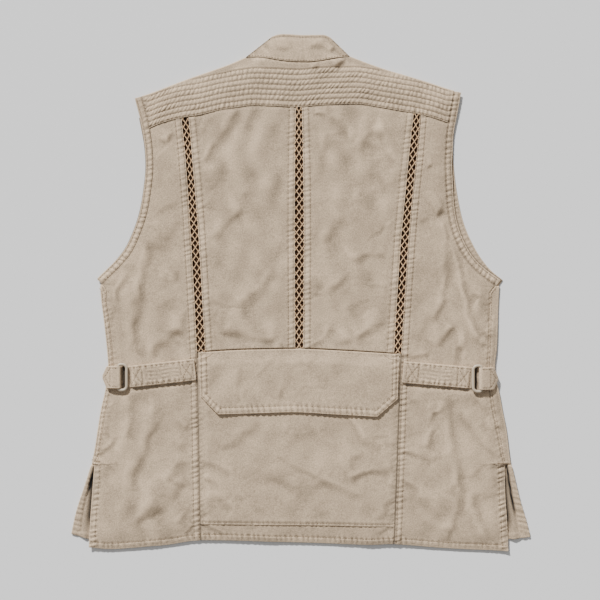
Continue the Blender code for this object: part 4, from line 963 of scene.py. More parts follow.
def tube(path, radius, sides, twist=None, closed=False):
    """Points and faces of a tube along a path.

    A ring is centre + radius (cos(angle) square + sin(angle) other); twist gives the two plies of a thread,
    radius (1 + 0.17 cos(2 angle - 2 pi run / twist)).
    """
    if closed:
        way = unit(np.roll(path, -1, axis=0) - np.roll(path, 1, axis=0))
    else:
        way = unit(np.gradient(path, axis=0))
    flat = unit(np.cross(way, UP))
    other = np.cross(flat, way)
    run = runs(path)[:, None]
    angle = np.linspace(0, 2 * math.pi, sides, endpoint=False)[None, :]
    size = np.full((len(path), sides), float(radius))
    if twist:
        size *= 1 + 0.17 * np.cos(2 * angle - 2 * math.pi * run / twist)
    ring = np.cos(angle)[..., None] * flat[:, None] + np.sin(angle)[..., None] * other[:, None]
    points = (path[:, None] + size[..., None] * ring).reshape(-1, 3)
    index = np.arange(len(points)).reshape(len(path), sides)
    nearer = index if closed else index[:-1]
    farther = np.roll(index, -1, axis=0) if closed else index[1:]
    quads = np.stack([nearer, np.roll(nearer, -1, axis=1), np.roll(farther, -1, axis=1), farther], axis=-1)
    quads = quads.reshape(-1, 4)[:, ::-1]
    caps = np.zeros((0, sides), int) if closed else np.stack([index[0], index[-1, ::-1]])
    return points, quads, caps


def joined_tubes(name, tubes, finish):
    """One mesh of several tubes."""
    points, slots, valid, base = [], [], [], 0
    wide = max(part[2].shape[1] for part in tubes)
    for place, quads, caps in tubes:
        for faces in (quads, caps):
            slots.append(np.pad(base + faces, ((0, 0), (0, wide - faces.shape[1]))))
            mask = np.zeros((len(faces), wide), bool)
            mask[:, :faces.shape[1]] = True
            valid.append(mask)
        points.append(place)
        base += len(place)
    points = np.concatenate(points)
    shades = np.full(len(points), 0.5, np.float32)
    return make_mesh(name, points, np.concatenate(slots), np.concatenate(valid), shades, finish)


def stitch_run(line, heights, trim=1.5, length=STITCH, step=STITCH_STEP):
    """Middle, direction and half length of each stitch on a line, at the heights a function gives."""
    total = long(line)
    count = int((total - 2 * trim) / step)
    if count < 1:
        return np.zeros((0, 2, 3))
    start = (total - count * step) / 2 + (step - length) / 2
    run = start + step * np.arange(count)
    ends = np.stack([along(line, run / total), along(line, (run + length) / total)], axis=1)
    height = heights(ends[..., 0], ends[..., 1])
    return np.dstack([ends.reshape(-1, 2)[None], height.reshape(1, -1)]).reshape(-1, 2, 3)


def make_stitches(name, ends, width, finish):
    """Stitches as short pointed threads: two square rings and two points each, all in one mesh.

    The rings are at 0.18 and 0.82 of a stitch and 0.16 mm above its line, the points 0.1 mm below it.
    """
    first, last = ends[:, 0], ends[:, 1]
    way = unit(last - first)
    flat = unit(np.cross(way, UP))
    other = np.cross(flat, way)
    corners = []
    for share in (0.18, 0.82):
        middle = first + share * (last - first) + (0, 0, 0.16)
        for a, b in ((1, 0), (0, 1), (-1, 0), (0, -1)):
            corners.append(middle + width / 2 * (a * flat + b * other))
    points = np.stack([first - (0, 0, 0.1)] + corners + [last - (0, 0, 0.1)], axis=1)
    base = 10 * np.arange(len(ends))[:, None, None]
    turn = np.arange(4)
    after = (turn + 1) % 4
    near = np.stack([0 * turn, 1 + turn, 1 + after, 0 * turn], axis=1)
    body = np.stack([1 + turn, 5 + turn, 5 + after, 1 + after], axis=1)
    far = np.stack([0 * turn + 9, 5 + after, 5 + turn, 0 * turn], axis=1)
    faces = np.concatenate([near, body, far])[None] + base
    valid = np.ones(faces.shape, bool)
    valid[:, :4, 3] = False
    valid[:, 8:, 3] = False
    return make_mesh(name, points.reshape(-1, 3), faces.reshape(-1, 4), valid.reshape(-1, 4),
                     np.full(10 * len(ends), 0.5, np.float32), finish)


def row_stitches(rows, heights, trim=1.5):
    """Stitches of every stitch line of the rows."""
    return np.concatenate([stitch_run(offset(row["line"], distance), heights, trim)
                           for row in rows for distance in row["stitches"]])


def curl(edge, inward, high):
    """Skins round a folded edge, from the surface up to a height above.

    Each is two quarter circles, distance in = turn - radius * cos(angle), height = turn + sin(angle) *
    radius, with the upper one stretched so that it ends at that height.
    """
    angle = np.linspace(-math.pi / 2, math.pi / 2, 8)[None, :]
    lift = np.sin(angle)
    skins = []
    for radius, top in ((TURN, high), (TURN - WALL, high - WALL)):
        flat = edge[:, None] + inward[:, None] * (TURN - radius * np.cos(angle))[..., None]
        height = np.where(lift > 0, TURN + lift * (top[:, None] - TURN), TURN + lift * radius)
        skins.append(np.dstack([flat, height]))
    return skins


def ground(points):
    """Skins of hidden cloth that lies on the surface, the first one downward."""
    return lifted(points, 0.0), lifted(points, WALL)


def laid(name, node, flat, points, height, finish, shade=None):
    """A piece of cotton over a grid of points, at the height that a function gives, with painted shade in its
    seams and where a shade function gives more.
    """
    x, y = points[..., 0], points[..., 1]
    deep = seam_shade(x, y)
    if shade is not None:
        deep = np.maximum(shade(x, y), deep)
    made = shell(name, *cloth(points, height(x, y)), finish, deep=deep)
    finished(made, node, flat)


def seam_corner(side):
    """Where the yoke seam meets the armhole band."""
    line, seam = BAND_INNER[side], YOKE_SEAM[END[side]]
    return line[np.argmin(np.abs(line[:, 1] - seam[1]))]


def make_bands(side, finish):
    """Armhole bands: of the back at its height, and of the front, which lies on the surface.

    The front one has puckers, a sunk stitch line at 2 mm, and shade where it comes out under the back.
    """
    share = even(BAND_WIDTH, FINE)
    for layer, outer in (("back", BAND_OUTER[side]), ("front", FRONT_OUTER[side])):
        rows = even(long(outer), YOKE_STEP)
        edge = offset(along(outer, rows), INWARD[side] * WALL / 2)
        line = offset(along(outer, rows), INWARD[side] * (BAND_WIDTH - INSET))
        trim = unit(edge[1] - edge[0])
        edge[0], line[0] = edge[0] + trim * WALL / 2, line[0] + trim * WALL / 2
        points = edge[:, None] + share[None, :, None] * (line - edge)[:, None]
        x, y = points[..., 0], points[..., 1]
        if layer == "back":
            skins = cloth(points, vest_top(x, y))
            shade = seam_shade(x, y)
        else:
            skins = ground(points)[::-1]
            run = np.linspace(0, long(outer), len(rows))[:, None]
            away = -INWARD[side] * beside(coarse(BAND_OUTER[side], 8), x, y)[0]
            relief = 0.26 * ripple(run, 3.1, 6.5) - 0.5 * bell(share * BAND_WIDTH - 2.0, 0.8)[None]
            skins[0][..., 2] += relief * np.sin(math.pi * share)[None] ** 0.5 * soft(away / 0.8)
            shade = 0.85 * bell(away, 1.4)
        made = shell(f"band_{layer}_{side}", *skins, finish, deep=shade)
        finished(made, f"armhole_band_{layer}_{side}", (0.31, 0.0115))


def side_outline(side):
    """Outer edge of a side back from the hem up: slit, side seam, then the armhole band's inner line."""
    band = BAND_INNER[side]
    band = band[(band[:, 1] < seam_corner(side)[1] + 0.1) & (band[:, 1] > SEAM_LINE[side][:, 1].max() + 1)]
    return np.vstack([SLIT_LINE[side][::-1], SEAM_LINE[side][::-1], band[::-1]])


def ring_shade(side, x, y):
    """Deep shade in a ring's opening: 1.25 - across to the power of 4, times 1.2 - up to the power of 6."""
    bar, middle, _point = RINGS[side]
    across = (x - bar + INWARD[side] * RING_GAP / 2) / (0.62 * RING_GAP)
    up = (y - middle) / (RING_HEIGHT / 2 - 2)
    return 0.9 * np.clip(1.25 - across ** 4, 0, 1) * np.clip(1.2 - up ** 6, 0, 1)


def four_edges(left, right, low_line, high_line, s):
    """The four edges of a piece: its left and right ones, and between them a line at its foot and its top."""
    return (left, right, at_x(low_line, left[0, 0] + s * (right[0, 0] - left[0, 0])),
            at_x(high_line, left[-1, 0] + s * (right[-1, 0] - left[-1, 0])))


def make_side_back(side, finish):
    """Side back, from the yoke to the hem; its rows share their part of the height between both edges."""
    outline = side_outline(side)
    t = even(long(outline), ROW_STEP)
    outer = along(outline, t)
    (_x, waist), hem = PRINCESS[side]
    low = by_x(HEM_LINE, hem[0])
    vent = VENT_EDGE[side, 1 if side == "left" else 2]
    high = by_x(YOKE_LINE, by_y(vent, VENT_HEAD))
    rows = low + (outer[:, 1] - outer[0, 1]) / (outer[-1, 1] - outer[0, 1]) * (high - low)
    x = np.where(rows > waist, by_y(vent, rows), by_y(PRINCESS_LINE[side], rows))
    inner = np.stack([x, rows], axis=1)
    s = steps(abs(outer[0, 0] - inner[0, 0]), FINE, COARSE, NEAR)
    if side == "left":
        left, right = outer, inner
    else:
        left, right = inner, outer
        s = 1 - s[::-1]
    edges = four_edges(left, right, HEM_LINE, YOKE_LINE, s)
    for edge, row in ((edges[2], 0), (edges[3], -1)):
        edge[0], edge[-1] = left[row], right[row]
    laid(f"side_back_{side}", f"back_side_{side}", (0.17, 0.64), patch(*edges, s, t), vest_top, finish,
         lambda x, y: ring_shade(side, x, y))


def make_upper_back(side, finish):
    """Upper centre back, between the middle vent and a side vent."""
    t = even(UPPER_LONG, ROW_STEP)
    edges = []
    for vent in ((("left", 2), ("center", 1)) if side == "left" else (("center", 2), ("right", 1))):
        line = VENT_EDGE[vent]
        low, high = by_x(WAIST_LINE, by_y(line, VENT_FOOT)), by_x(YOKE_LINE, by_y(line, VENT_HEAD))
        edges.append(at_y(line, low + t * (high - low)))
    left, right = edges
    s = steps(right[0, 0] - left[0, 0], FINE, COARSE, NEAR)
    points = patch(*four_edges(left, right, WAIST_LINE, YOKE_LINE, s), s, t)
    laid(f"upper_back_{side}", f"back_upper_{side}", (0.16, 0.37), points, vest_top, finish)


def lower_patch(low_line, high_line, s, t):
    """Grid between the two princess seams, from one line across up to another."""
    edges = []
    for line in PRINCESS_LINE.values():
        low, high = by_x(low_line, line[-1, 0]), by_x(high_line, line[0, 0])
        edges.append(at_y(line, low + t * (high - low)))
    return patch(*four_edges(*edges, low_line, high_line, s), s, t)


def lower_top(x, y):
    """Height of the lower back: sunk by 1.5 mm under the pouch, and kept 0.9 mm below the plain top there."""
    under = y - by_x(POUCH_LINE, x)
    height = vest_top(x, y) - 1.5 * soft((under - 2.5) / 5)
    return np.minimum(height, level(x, y) - 0.9 + 3 * soft((9 - under) / 6))


def make_lower_back(finish):
    """Base of the lower centre back, from the waist to the hem, with fine rows up to the pouch."""
    fine = np.arange(0, LOWER_SHOWN, ROW_STEP) / LOWER_LONG
    hidden = even(LOWER_LONG - LOWER_SHOWN, 6.0)
    t = np.unique(np.append(fine, fine[-1] + hidden * (1 - fine[-1])))
    t = t if len(t) % 2 else np.delete(t, 1)
    points = lower_patch(HEM_LINE, WAIST_LINE, even(LOWER_WIDE, POUCH_STEP), t)
    laid("lower_back", "back_lower", (0.31, 0.31), points, lower_top, finish)


def make_pouch(finish):
    """Pouch laid on the lower back, open at its upper edge, with coarse rows where the flap hides it."""
    mouth = np.array([(-200.0, POUCH_TOP), (200.0, POUCH_TOP)])
    shown = even(POUCH_SHOWN, POUCH_STEP) * POUCH_SHOWN / (POUCH_SHOWN + POUCH_HIDDEN)
    t = np.append(shown[:-1], shown[-1] + even(POUCH_HIDDEN, 4.0) * (1 - shown[-1]))
    points = lower_patch(POUCH_LINE, mouth, even(POUCH_WIDE, POUCH_STEP), t)
    laid("pouch", "pouch_pocket", (0.31, 0.28), points, pouch_top, finish)


def make_flap(finish):
    """Flap over the pouch, sewn in at the waist, with its lower corners cut off."""
    outline = np.array(FLAP_BOTTOM, float)
    step = 1.4
    corners = [along(line, even(size, step)) for line, size in zip((outline[:2], outline[-2:]), FLAP_CORNERS)]
    bottom = np.vstack([corners[0], smooth(FLAP_BOTTOM[1:-1], step)[1:-1], corners[1]])
    if len(bottom) % 2 == 0:
        bottom = np.delete(bottom, len(bottom) // 2, axis=0)
    s = np.linspace(0, 1, len(bottom))
    t = even(FLAP_LONG, ROW_STEP)
    left, right = (along(np.array(FLAP_SIDE[side][::-1], float), t) for side in SIDES)
    top = at_x(WAIST_LINE, left[-1, 0] + s * (right[-1, 0] - left[-1, 0]))
    points = patch(left, right, bottom, top, s, t)
    laid("flap", "pouch_flap", (0.31, 0.11), points, flap_top, finish)


def shown_shade(skin):
    """Shade in the seams of a piece of which only the upper part shows."""
    return seam_shade(skin[..., 0], skin[..., 1]) * (skin[..., 2] > EDGE_TOP - 0.5)


def make_yoke(finish):
    """Quilted yoke: up to the neck seam between the shoulders, and turned over both shoulders to the front.

    The part in front lies on the surface, and its free edge goes straight from neck to armhole.
    """
    corners = {side: seam_corner(side) for side in SIDES}
    first, last = corners.values()
    s = even(last[0] - first[0], YOKE_STEP)
    columns = len(s)
    bottom = at_x(YOKE_LINE, first[0] + s * (last[0] - first[0]))
    bottom[0], bottom[-1] = first, last
    neck = int(columns * 0.335)
    over_parts = (slice(0, neck + 1), slice(columns - neck - 1, columns))
    t = even(YOKE_LONG, YOKE_STEP)
    shoulder, sides = {}, []
    for side in SIDES:
        line = smooth(SHOULDER[side])
        tip = line[-1] + BAND_WIDTH * unit(along(line, [0.9])[0] - line[-1])
        shoulder[side] = np.vstack([line[line[:, 0] * INWARD[side] > tip[0] * INWARD[side]], tip])
        band = BAND_INNER[side]
        band = band[band[:, 1] > corners[side][1]]
        sides.append(along(np.vstack([corners[side], band[::-1][1:-2], tip]), t))
    over = np.zeros(columns, bool)
    for part in over_parts:
        over[part] = True
    top = np.vstack([
        along(shoulder["left"][::-1], np.linspace(0, 1, neck + 1)),
        along(COLLAR_LINE, np.linspace(0, 1, columns - 2 * neck))[1:-1],
        along(shoulder["right"], np.linspace(0, 1, neck + 1)),
    ])
    inward = np.tile((0.0, -1.0), (columns, 1))
    from_neck = np.minimum(np.abs(top[:, 0] - top[neck, 0]), np.abs(top[:, 0] - top[-neck - 1, 0]))
    drop = np.where(over, TURN, INSET + (TURN - INSET) * (1 - soft(from_neck / 3)))
    points = patch(*sides, bottom, top, s, t, (INSET, INSET, INSET, 0))
    last_row = points[-1] + drop[:, None] * inward
    points = points + t[:, None, None] ** 6 * (last_row - points[-1])
    high = vest_top(points[..., 0], points[..., 1], yoke=True)
    edge = points[-1] - drop[:, None] * inward
    shares = (1.0, 0.6, 0.25)
    reach = edge[None] + inward[None] * (FRONT_REACH * np.array(shares))[:, None, None]
    for run, share in zip(reach, shares):
        for part in over_parts:
            ends = run[part][[0, -1]]
            ends = ends[np.argsort(ends[:, 0])]
            straight = np.interp(run[part][:, 0], ends[:, 0], ends[:, 1])
            run[part, 1] += share * (straight - run[part, 1])
    skins = [np.concatenate([low, np.transpose(bend, (1, 0, 2))[:-1], upper[::-1]])
             for low, bend, upper in zip(ground(reach), curl(edge, inward, high[-1]), cloth(points, high))]
    kept = np.ones((len(skins[0]) - 1, columns - 1), bool)
    kept[:len(skins[0]) - len(t), neck:columns - neck - 1] = False
    made = shell("quilted_yoke", *skins, finish, kept, shown_shade(skins[0]))
    finished(made, "yoke", (0.46, 0.13))


def from_middle(side, table):
    """Points of a hidden edge from the neck point to the middle, from shares of the way and y."""
    neck = COLLAR_SEAM[END[side]][0]
    return np.array([(share * neck, y) for share, y in table])


def front_hem(side, last=None):
    """Lower edge of a front from the middle outward."""
    return smooth([(-INWARD[side] * x, y) for x, y in HEM_FRONT[:last]])


def corner_shape(side, x, y):
    """Height and painted shade of a front's lower corner: a turned edge that stands up, a swelling, and a
    crease that is only painted shade.

    The turned edge is wider and lower towards the hem. A smooth step at its width makes the edge, bells at
    0.28 and 0.8 of it its stitch lines, and one 1.5 mm inside it the painted shade of the crease, which ends
    above the hem. Beside the back's edge lies a painted shadow, and inside the turned edge a faint painted
    shade.
    """
    outward = -INWARD[side]
    top, low = SLIT_BACK[side][0][1], SLIT_FRONT[side][-1][1]
    down = np.clip((top - y) / (top - low), 0, 1)
    from_edge = outward * (by_y(SLIT_FRONT_LINE[side], y) - x)
    from_back = outward * (x - by_y(SLIT_LINE[side], y))
    from_hem = y - by_x(front_hem(side), x)
    here = soft((top + 1 - y) / 5)
    near_hem = soft((10 - from_hem) / 2)
    if side == "left":
        width, end, seed = 3.9 + 9.0 * down ** 1.5, 0.5, 3.0
    else:
        width, end, seed = 4.8 + 9.5 * down, 0.78, 5.0
    edge = soft((width - from_edge) / 1.6 + 0.5)
    shape = edge * (3.4 - 2.2 * down) + 0.9 * near_hem * down * (1 - edge)
    shape += edge * 0.55 * ripple(y + 0.25 * x, seed) * soft(3 * down)
    swell = soft(from_back / (7 * down + 2)) * soft((from_edge - width) / 5) * 1.8 * down
    shape += swell + 0.35 * ripple(x, 2.0) * near_hem
    for distance in (0.28, 0.8):
        shape -= 0.3 * bell(from_edge - distance * width, 0.9) * soft(6 * down)
    for distance in (2.6, 8.6):
        shape -= 0.3 * bell(from_hem - distance, 0.9)
    # Painted shade: the crease's dark line, the shadow of the back's edge beside it, and a faint shade inside
    # the turned edge.
    crease = bell(from_edge - width - 1.5, 1.5 + 0.9 * down) * soft((end - down) / 0.25) * here
    shadow_beside_back = bell(from_back, 2.5 + 6.0 * down) * soft(6 * down - 0.4) * soft((1.02 - down) / 0.3)
    inside = 0.2 * soft((from_edge - width) / 2) * soft(4 * down)
    return here * shape, np.clip(1.3 * crease + np.maximum(0.95 * shadow_beside_back, inside) * here, 0, 1)


def under_yoke(side, x):
    """Height of a front's upper edge, a little below the yoke's front edge: parallel to the shoulder."""
    (x0, y0), (x1, y1) = SHOULDER[side][0], SHOULDER[side][-1]
    return y0 + (x - x0) / (x1 - x0) * (y1 - y0) - FRONT_REACH - 2.5


def front_plate(side, slit, fold):
    """Grid of a front's flat part, from the middle to the slit, the side's fold and the armhole band."""
    band = FRONT_INNER[side]
    band = band[(band[:, 1] > fold[:, 1].max() + 3) & (band[:, 1] < under_yoke(side, band[:, 0]))]
    band = along(band[::-1], even(FRONT_LONG, HIDDEN_STEP)) + np.array((INWARD[side], 0.0)) * INSET
    edge = np.vstack([slit, fold[::-1], band])
    neck = SHOULDER[side][0][0]
    neckline = from_middle(side, NECKLINE)[:0:-1] - (0, SEAM_GAP)
    shown = FRONT_SHOWN / FRONT_WIDE
    s = np.append(even(FRONT_WIDE - FRONT_SHOWN, 10.0) * (1 - shown),
                  1 - shown + even(FRONT_SHOWN, POUCH_STEP)[1:] * FRONT_SHOWN / FRONT_WIDE)
    top = along(np.vstack([neckline, (neck, under_yoke(side, neck)), edge[-1]]), s)
    hem = along(np.vstack([front_hem(side, -1), slit[0]]), s)
    hem[:, 1] += WALL / 2
    t = runs(edge)
    t = t / t[-1]
    middle = np.full(len(t), -INWARD[side] * SEAM_GAP)
    center = np.stack([middle, hem[0, 1] + t * (top[0, 1] - hem[0, 1])], axis=1)
    edge[0], hem[0], top[0], top[-1] = hem[-1], center[0], center[-1], edge[-1]
    return patch(center, edge, hem, top, s, t, (0, 0, 0, 0))


def make_front(side, finish):
    """Front: flat on the surface, and folded round the side up to the side seam on the back.

    The rows of the flat plate that end at the fold go on round it, and then up to the seam.
    """
    inward = np.array((float(INWARD[side]), 0.0))
    share = even(long(FOLD_LINE[side]), POUCH_STEP)
    fold, seam = along(FOLD_LINE[side], share), along(SEAM_LINE[side], share)
    slit = SLIT_FRONT_LINE[side]
    slit = along(slit[::-1], even(long(slit), POUCH_STEP)) + inward * WALL / 2
    inner_fold = fold + TURN * inward
    plate = front_plate(side, slit, inner_fold)
    rows, columns = plate.shape[:2]
    low, high = ground(plate)
    shape, deep = corner_shape(side, plate[..., 0], plate[..., 1])
    high[..., 2] += shape
    low[..., 2] += 0.6 * np.maximum(shape, 0)
    share = even(9, TAB_STEP)[1:]
    strip = inner_fold[:, None] + share[None, :, None] * (seam - INSET * inward - inner_fold)[:, None]
    strip_high = vest_top(strip[..., 0], strip[..., 1])
    turn = curl(fold, np.tile(inward, (len(fold), 1)), strip_high[:, 0])
    first, last = len(slit), len(slit) + len(fold)
    skins = []
    for flat, bend, upper in zip((low, high), turn, cloth(strip, strip_high)):
        extra = np.concatenate([bend[:, 1:], upper], axis=1)[::-1]
        wrap = np.zeros((rows, extra.shape[1], 3))
        wrap[:] = flat[:, -1:]
        wrap[first:last] = extra
        skins.append(np.concatenate([flat, wrap], axis=1))
    kept = np.ones((rows - 1, skins[0].shape[1] - 1), bool)
    kept[:first, columns - 1:] = False
    kept[last - 1:, columns - 1:] = False
    shade = np.pad(deep, ((0, 0), (0, skins[0].shape[1] - columns)))
    made = shell(f"vest_front_{side}", *skins, finish, kept, shade)
    finished(made, f"front_{side}", (0.36, 0.68))


def make_collar(finish):
    """One band, folded flat at both sides: its back lies on its two front ends.

    The grid of the back goes on round each fold and ends at the middle in front.
    """
    rise = even(COLLAR_LONG, YOKE_STEP)
    inset = (WALL + SEAM_GAP) / 2 / 32
    rise_in = inset + rise * (1 - inset - 0.3 * inset)
    columns = even(COLLAR_WIDE, ROW_STEP)
    seam, top = along(COLLAR_LINE, columns), along(smooth(COLLAR_TOP), columns)
    low, high = seam + (0, INSET), top - (0, 0.3 * INSET)
    bends, starts = {}, {}
    for side, end in END.items():
        line = seam[end] + rise_in[:, None] * (top[end] - seam[end])
        slope = unit(top[end] - seam[end])
        inward = np.tile(np.array((slope[1], -slope[0])) * INWARD[side], (len(rise), 1))
        bends[side] = line, inward
        starts[side] = line + TURN * inward
        low[end], high[end] = starts[side][0], starts[side][-1]
    middle = patch(starts["left"], starts["right"], low, high, columns, rise, (0, 0, 0, 0))
    height = vest_top(middle[..., 0], middle[..., 1], collar=True)
    stacks = [[skin] for skin in cloth(middle, height)]
    for side, column in END.items():
        start = starts[side]
        bottom_line, top_line = from_middle(side, NECKLINE), from_middle(side, COLLAR_FRONT)
        bottom_line[0], top_line[0] = start[0], start[-1]
        bottom_line[-1, 0] = top_line[-1, 0] = -INWARD[side] * SEAM_GAP
        s = even(80, HIDDEN_STEP)
        low_edge, high_edge = along(bottom_line, s), along(top_line, s)
        end = low_edge[-1] + rise[:, None] * (high_edge[-1] - low_edge[-1])
        flat_points = patch(start, end, low_edge, high_edge, s, rise, (0, 0, 0, 0))
        for stack, flat, bend in zip(stacks, ground(flat_points), curl(*bends[side], height[:, column])):
            strip = np.concatenate([flat[:, :0:-1], bend[:, :-1]], axis=1)
            if side == "left":
                stack.insert(0, strip)
            else:
                stack.append(strip[:, ::-1])
    outer, inner = (np.concatenate(stack, axis=1) for stack in stacks)
    made = shell("stand_collar", outer, inner, finish, deep=shown_shade(outer))
    finished(made, "collar", (0.36, 0.055))


def vent_edges(side, step):
    """Rows up a vent about a step apart, and the x of its two edges there."""
    lines = [VENT_EDGE[side, edge] for edge in (1, 2)]
    low = max(by_x(WAIST_LINE, by_y(line, VENT_FOOT)) for line in lines)
    high = min(by_x(YOKE_LINE, by_y(line, VENT_HEAD)) for line in lines)
    rows = low + even(high - low, step) * (high - low)
    return rows, by_y(lines[0], rows), by_y(lines[1], rows)


def make_lining(side, finish):
    """Dark strip of lining behind a vent."""
    rows, left, right = vent_edges(side, 3.0)
    share = even(1, 0.12)
    x = (left - VENT_LAP)[:, None] + share[None] * (right - left + 2 * VENT_LAP)[:, None]
    points = np.dstack([x, np.broadcast_to(rows[:, None], x.shape)])
    height = level(x, points[..., 1]) - LINING_LOW
    made = shell(f"dark_strip_{side}", *cloth(points, height, LINING_WALL), finish)
    finished(made, f"vent_lining_{side}", (0.02, 0.335))


def make_net(side, radius, finish):
    """Diamond net of a vent: two families of slanting threads that cross, each over and under in turn.

    A family's thread number k has x = left + share * wide and y = (k + 0.5) * cell +- (share - 0.5) * wide *
    cell / mesh, and it stands 0.3 cos(2 pi y / cell) above or below the net's middle. Both wander a little.
    """
    rows, left, right = vent_edges(side, 0.8)
    low, high = rows[0] - 1.0, rows[-1] + 1.0
    share = np.linspace(-0.07, 1.07, 31)
    wide = float(np.mean(right - left))
    slant = NET_CELL / NET_MESH * wide
    tubes = []
    for sign in (-1, 1):
        for number in range(-3, int((high - low) / NET_CELL) + 3):
            start = low + (number + 0.5) * NET_CELL
            centre = start + sign * (share - 0.5) * slant
            y = centre + 0.7 * np.sin(centre / 29) + 0.35 * np.sin(centre / 9.7 + sign)
            inside = (y > low) & (y < high)
            if inside.sum() < 4:
                continue
            y, across = y[inside], share[inside]
            first, last = np.interp(y, rows, left), np.interp(y, rows, right)
            x = first + across * (last - first) + 0.3 * np.sin(centre[inside] / 14 + 2 * sign)
            z = level(x, y) - NET_LOW + 0.3 * sign * np.cos(2 * math.pi * (centre[inside] - low) / NET_CELL)
            tubes.append(tube(np.stack([x, y, z], axis=1), radius, 8, NET_PLY))
    made = joined_tubes(f"net_threads_{side}", tubes, finish)
    finished(made, f"net_{side}", None)


def ring_level(side):
    """Height of the ring's middle: it lies over a tab's lower leg and the strap's tip."""
    bar, middle, _point = RINGS[side]
    rest = float(level(np.array(bar - INWARD[side] * RING_GAP / 2), np.array(middle)))
    return rest + STACK_GAP + TAB_WALL + SEAM_GAP + RING_WIRE / 2


def box_cross(length, width, ends):
    """Stitch lines of a strap in its own run and width: both edges, and at each end a box with diagonals."""
    low, high = STRAP_MARGIN, width - STRAP_MARGIN
    lines = [[(1.5, y), (length - 1.5, y)] for y in (low, high)]
    for start in ends:
        end = start + STRAP_BOX
        lines += [[(start, low), (start, high)], [(end, low), (end, high)],
                  [(start + 0.8, low + 0.8), (end - 0.8, high - 0.8)],
                  [(start + 0.8, high - 0.8), (end - 0.8, low + 0.8)]]
    return [np.array(line, float) for line in lines]


def strap_lines(side):
    """A strap's stitch lines, its start, its way and square, its length and its width."""
    x0, y0, x1, y1, width = STRAPS[side]
    start, end = np.array((x0, y0)), np.array((x1, y1))
    way = unit(end - start)
    square = np.array((-way[1], way[0])) * -INWARD[side]
    length = float(np.linalg.norm(end - start))
    lines = [start + line[:, :1] * way + (line[:, 1:] - width / 2) * square
             for line in box_cross(length, width, STRAP_BOXES[side])]
    return lines, start, way, square, length, width


def strap_top(side, x, y):
    """Height of a strap: laid on the side back, sunk along its stitch lines, its end under the ring.

    Each stitch line is a bell across it. Puckers stand beside both long edges, and between the boxes are
    low ridges, 0.28 sin(2 pi across / 5.4), that bend and come and go.
    """
    lines, start, way, square, length, width = strap_lines(side)
    run = (x - start[0]) * way[0] + (y - start[1]) * way[1]
    across = (x - start[0]) * square[0] + (y - start[1]) * square[1]
    over = np.abs(across)
    relief = np.zeros(x.shape)
    for number, line in enumerate(lines):
        away, ahead, past = beside(line, x, y)
        relief -= 0.42 * bell(away, 1.0) * bell(past, 1.2)
        if number < 2:
            seed = 1.3 * number + (2.0 if side == "left" else 4.4)
            relief += 0.72 * bell(away, 4.0) * ripple(ahead, seed)
    middle = soft((run - 22) / 6) * soft((length - 24 - run) / 6) * soft((width / 2 - 3 - over) / 3)
    ridges = np.sin(2 * math.pi * across / 5.4 + 0.9 * np.sin(run / 7)) * (0.6 + 0.4 * np.sin(run / 3.1))
    relief += 0.28 * middle * ridges
    crown = 0.35 * soft((width / 2 - over) / 4) + 1.2 * unevenness(x, y) + waves(21, 18, 3.5, 8, 0.03, x, y)
    plain = level(x, y) + STACK_GAP + STRAP_WALL + SEAM_GAP + crown + relief
    tip = ring_level(side) - RING_WIRE / 2 - 0.25
    return plain + soft((run - (length - 7.0)) / 5) * (np.minimum(tip, plain) - plain)


def make_strap(side, finish):
    """Waist strap, laid on the side back, with its tip under the ring's bar."""
    _lines, start, way, square, length, width = strap_lines(side)
    run = 0.5 + even(length, STRAP_STEP) * (length - 0.5)
    over = (even(width, STRAP_STEP) - 0.5) * (width - STRAP_PLY)
    points = start + run[None, :, None] * way + over[:, None, None] * square
    top = strap_top(side, points[..., 0], points[..., 1])
    wall = np.where(run > length - 6, STRAP_TIP, STRAP_PLY)[None]
    made = shell(f"waist_strap_{side}", *cloth(points, top, wall), finish)
    finished(made, f"strap_{side}", (length * MM, width * MM))


def make_ring(side, wire, finish):
    """Flat ring of round wire: a straight bar in the tab's fold, and rounded corners beside the strap.

    Its middle line is four quarter circles joined by straight lines.
    """
    bar, middle, _point = RINGS[side]
    outward = -INWARD[side]
    far = bar + outward * (RING_GAP + RING_WIRE + TAB_WALL + SEAM_GAP)
    tall = (RING_HEIGHT - RING_WIRE) / 2
    tight = RING_CORNER / 2
    corners = ((bar + outward * RING_CORNER, middle + tall - RING_CORNER, RING_CORNER, 90),
               (bar + outward * RING_CORNER, middle - tall + RING_CORNER, RING_CORNER, 180),
               (far - outward * tight, middle - tall + tight, tight, 270),
               (far - outward * tight, middle + tall - tight, tight, 0))
    route = []
    for x, y, radius, start in corners:
        angle = np.radians(start + np.linspace(0, 90, 9))
        route.append(np.stack([x + outward * radius * np.cos(angle), y + radius * np.sin(angle)], axis=1))
    route = np.concatenate(route + [route[0][:1]])
    route = along(route, np.linspace(0, 1, 97)[:-1])
    path = np.column_stack([route, np.full(len(route), ring_level(side))])
    made = joined_tubes(f"wire_ring_{side}", [tube(path, wire / 2, 16, closed=True)], finish)
    finished(made, f"ring_{side}", None)


def tab_ends(side):
    """x of a tab's fold round the ring and of its tip."""
    bar, _middle, point = RINGS[side]
    return bar - INWARD[side] * (RING_WIRE / 2 + RING_GAP + TAB_TURN), point + INWARD[side] * TAB_TIP


def tab_height(side, x):
    """Plain height of a tab's upper leg at x, from the fold down to the lower leg along share to the 1.5."""
    loop_x, tip_x = tab_ends(side)
    legs = (x - tip_x) / (loop_x - tip_x)
    low = level(np.asarray(x, float), np.full(np.shape(x), RINGS[side][1])) + STACK_GAP
    high = ring_level(side) + TAB_TURN
    return high - (high - (low + 2 * TAB_WALL + SEAM_GAP)) * np.clip(1 - legs, 0, 1) ** 1.5


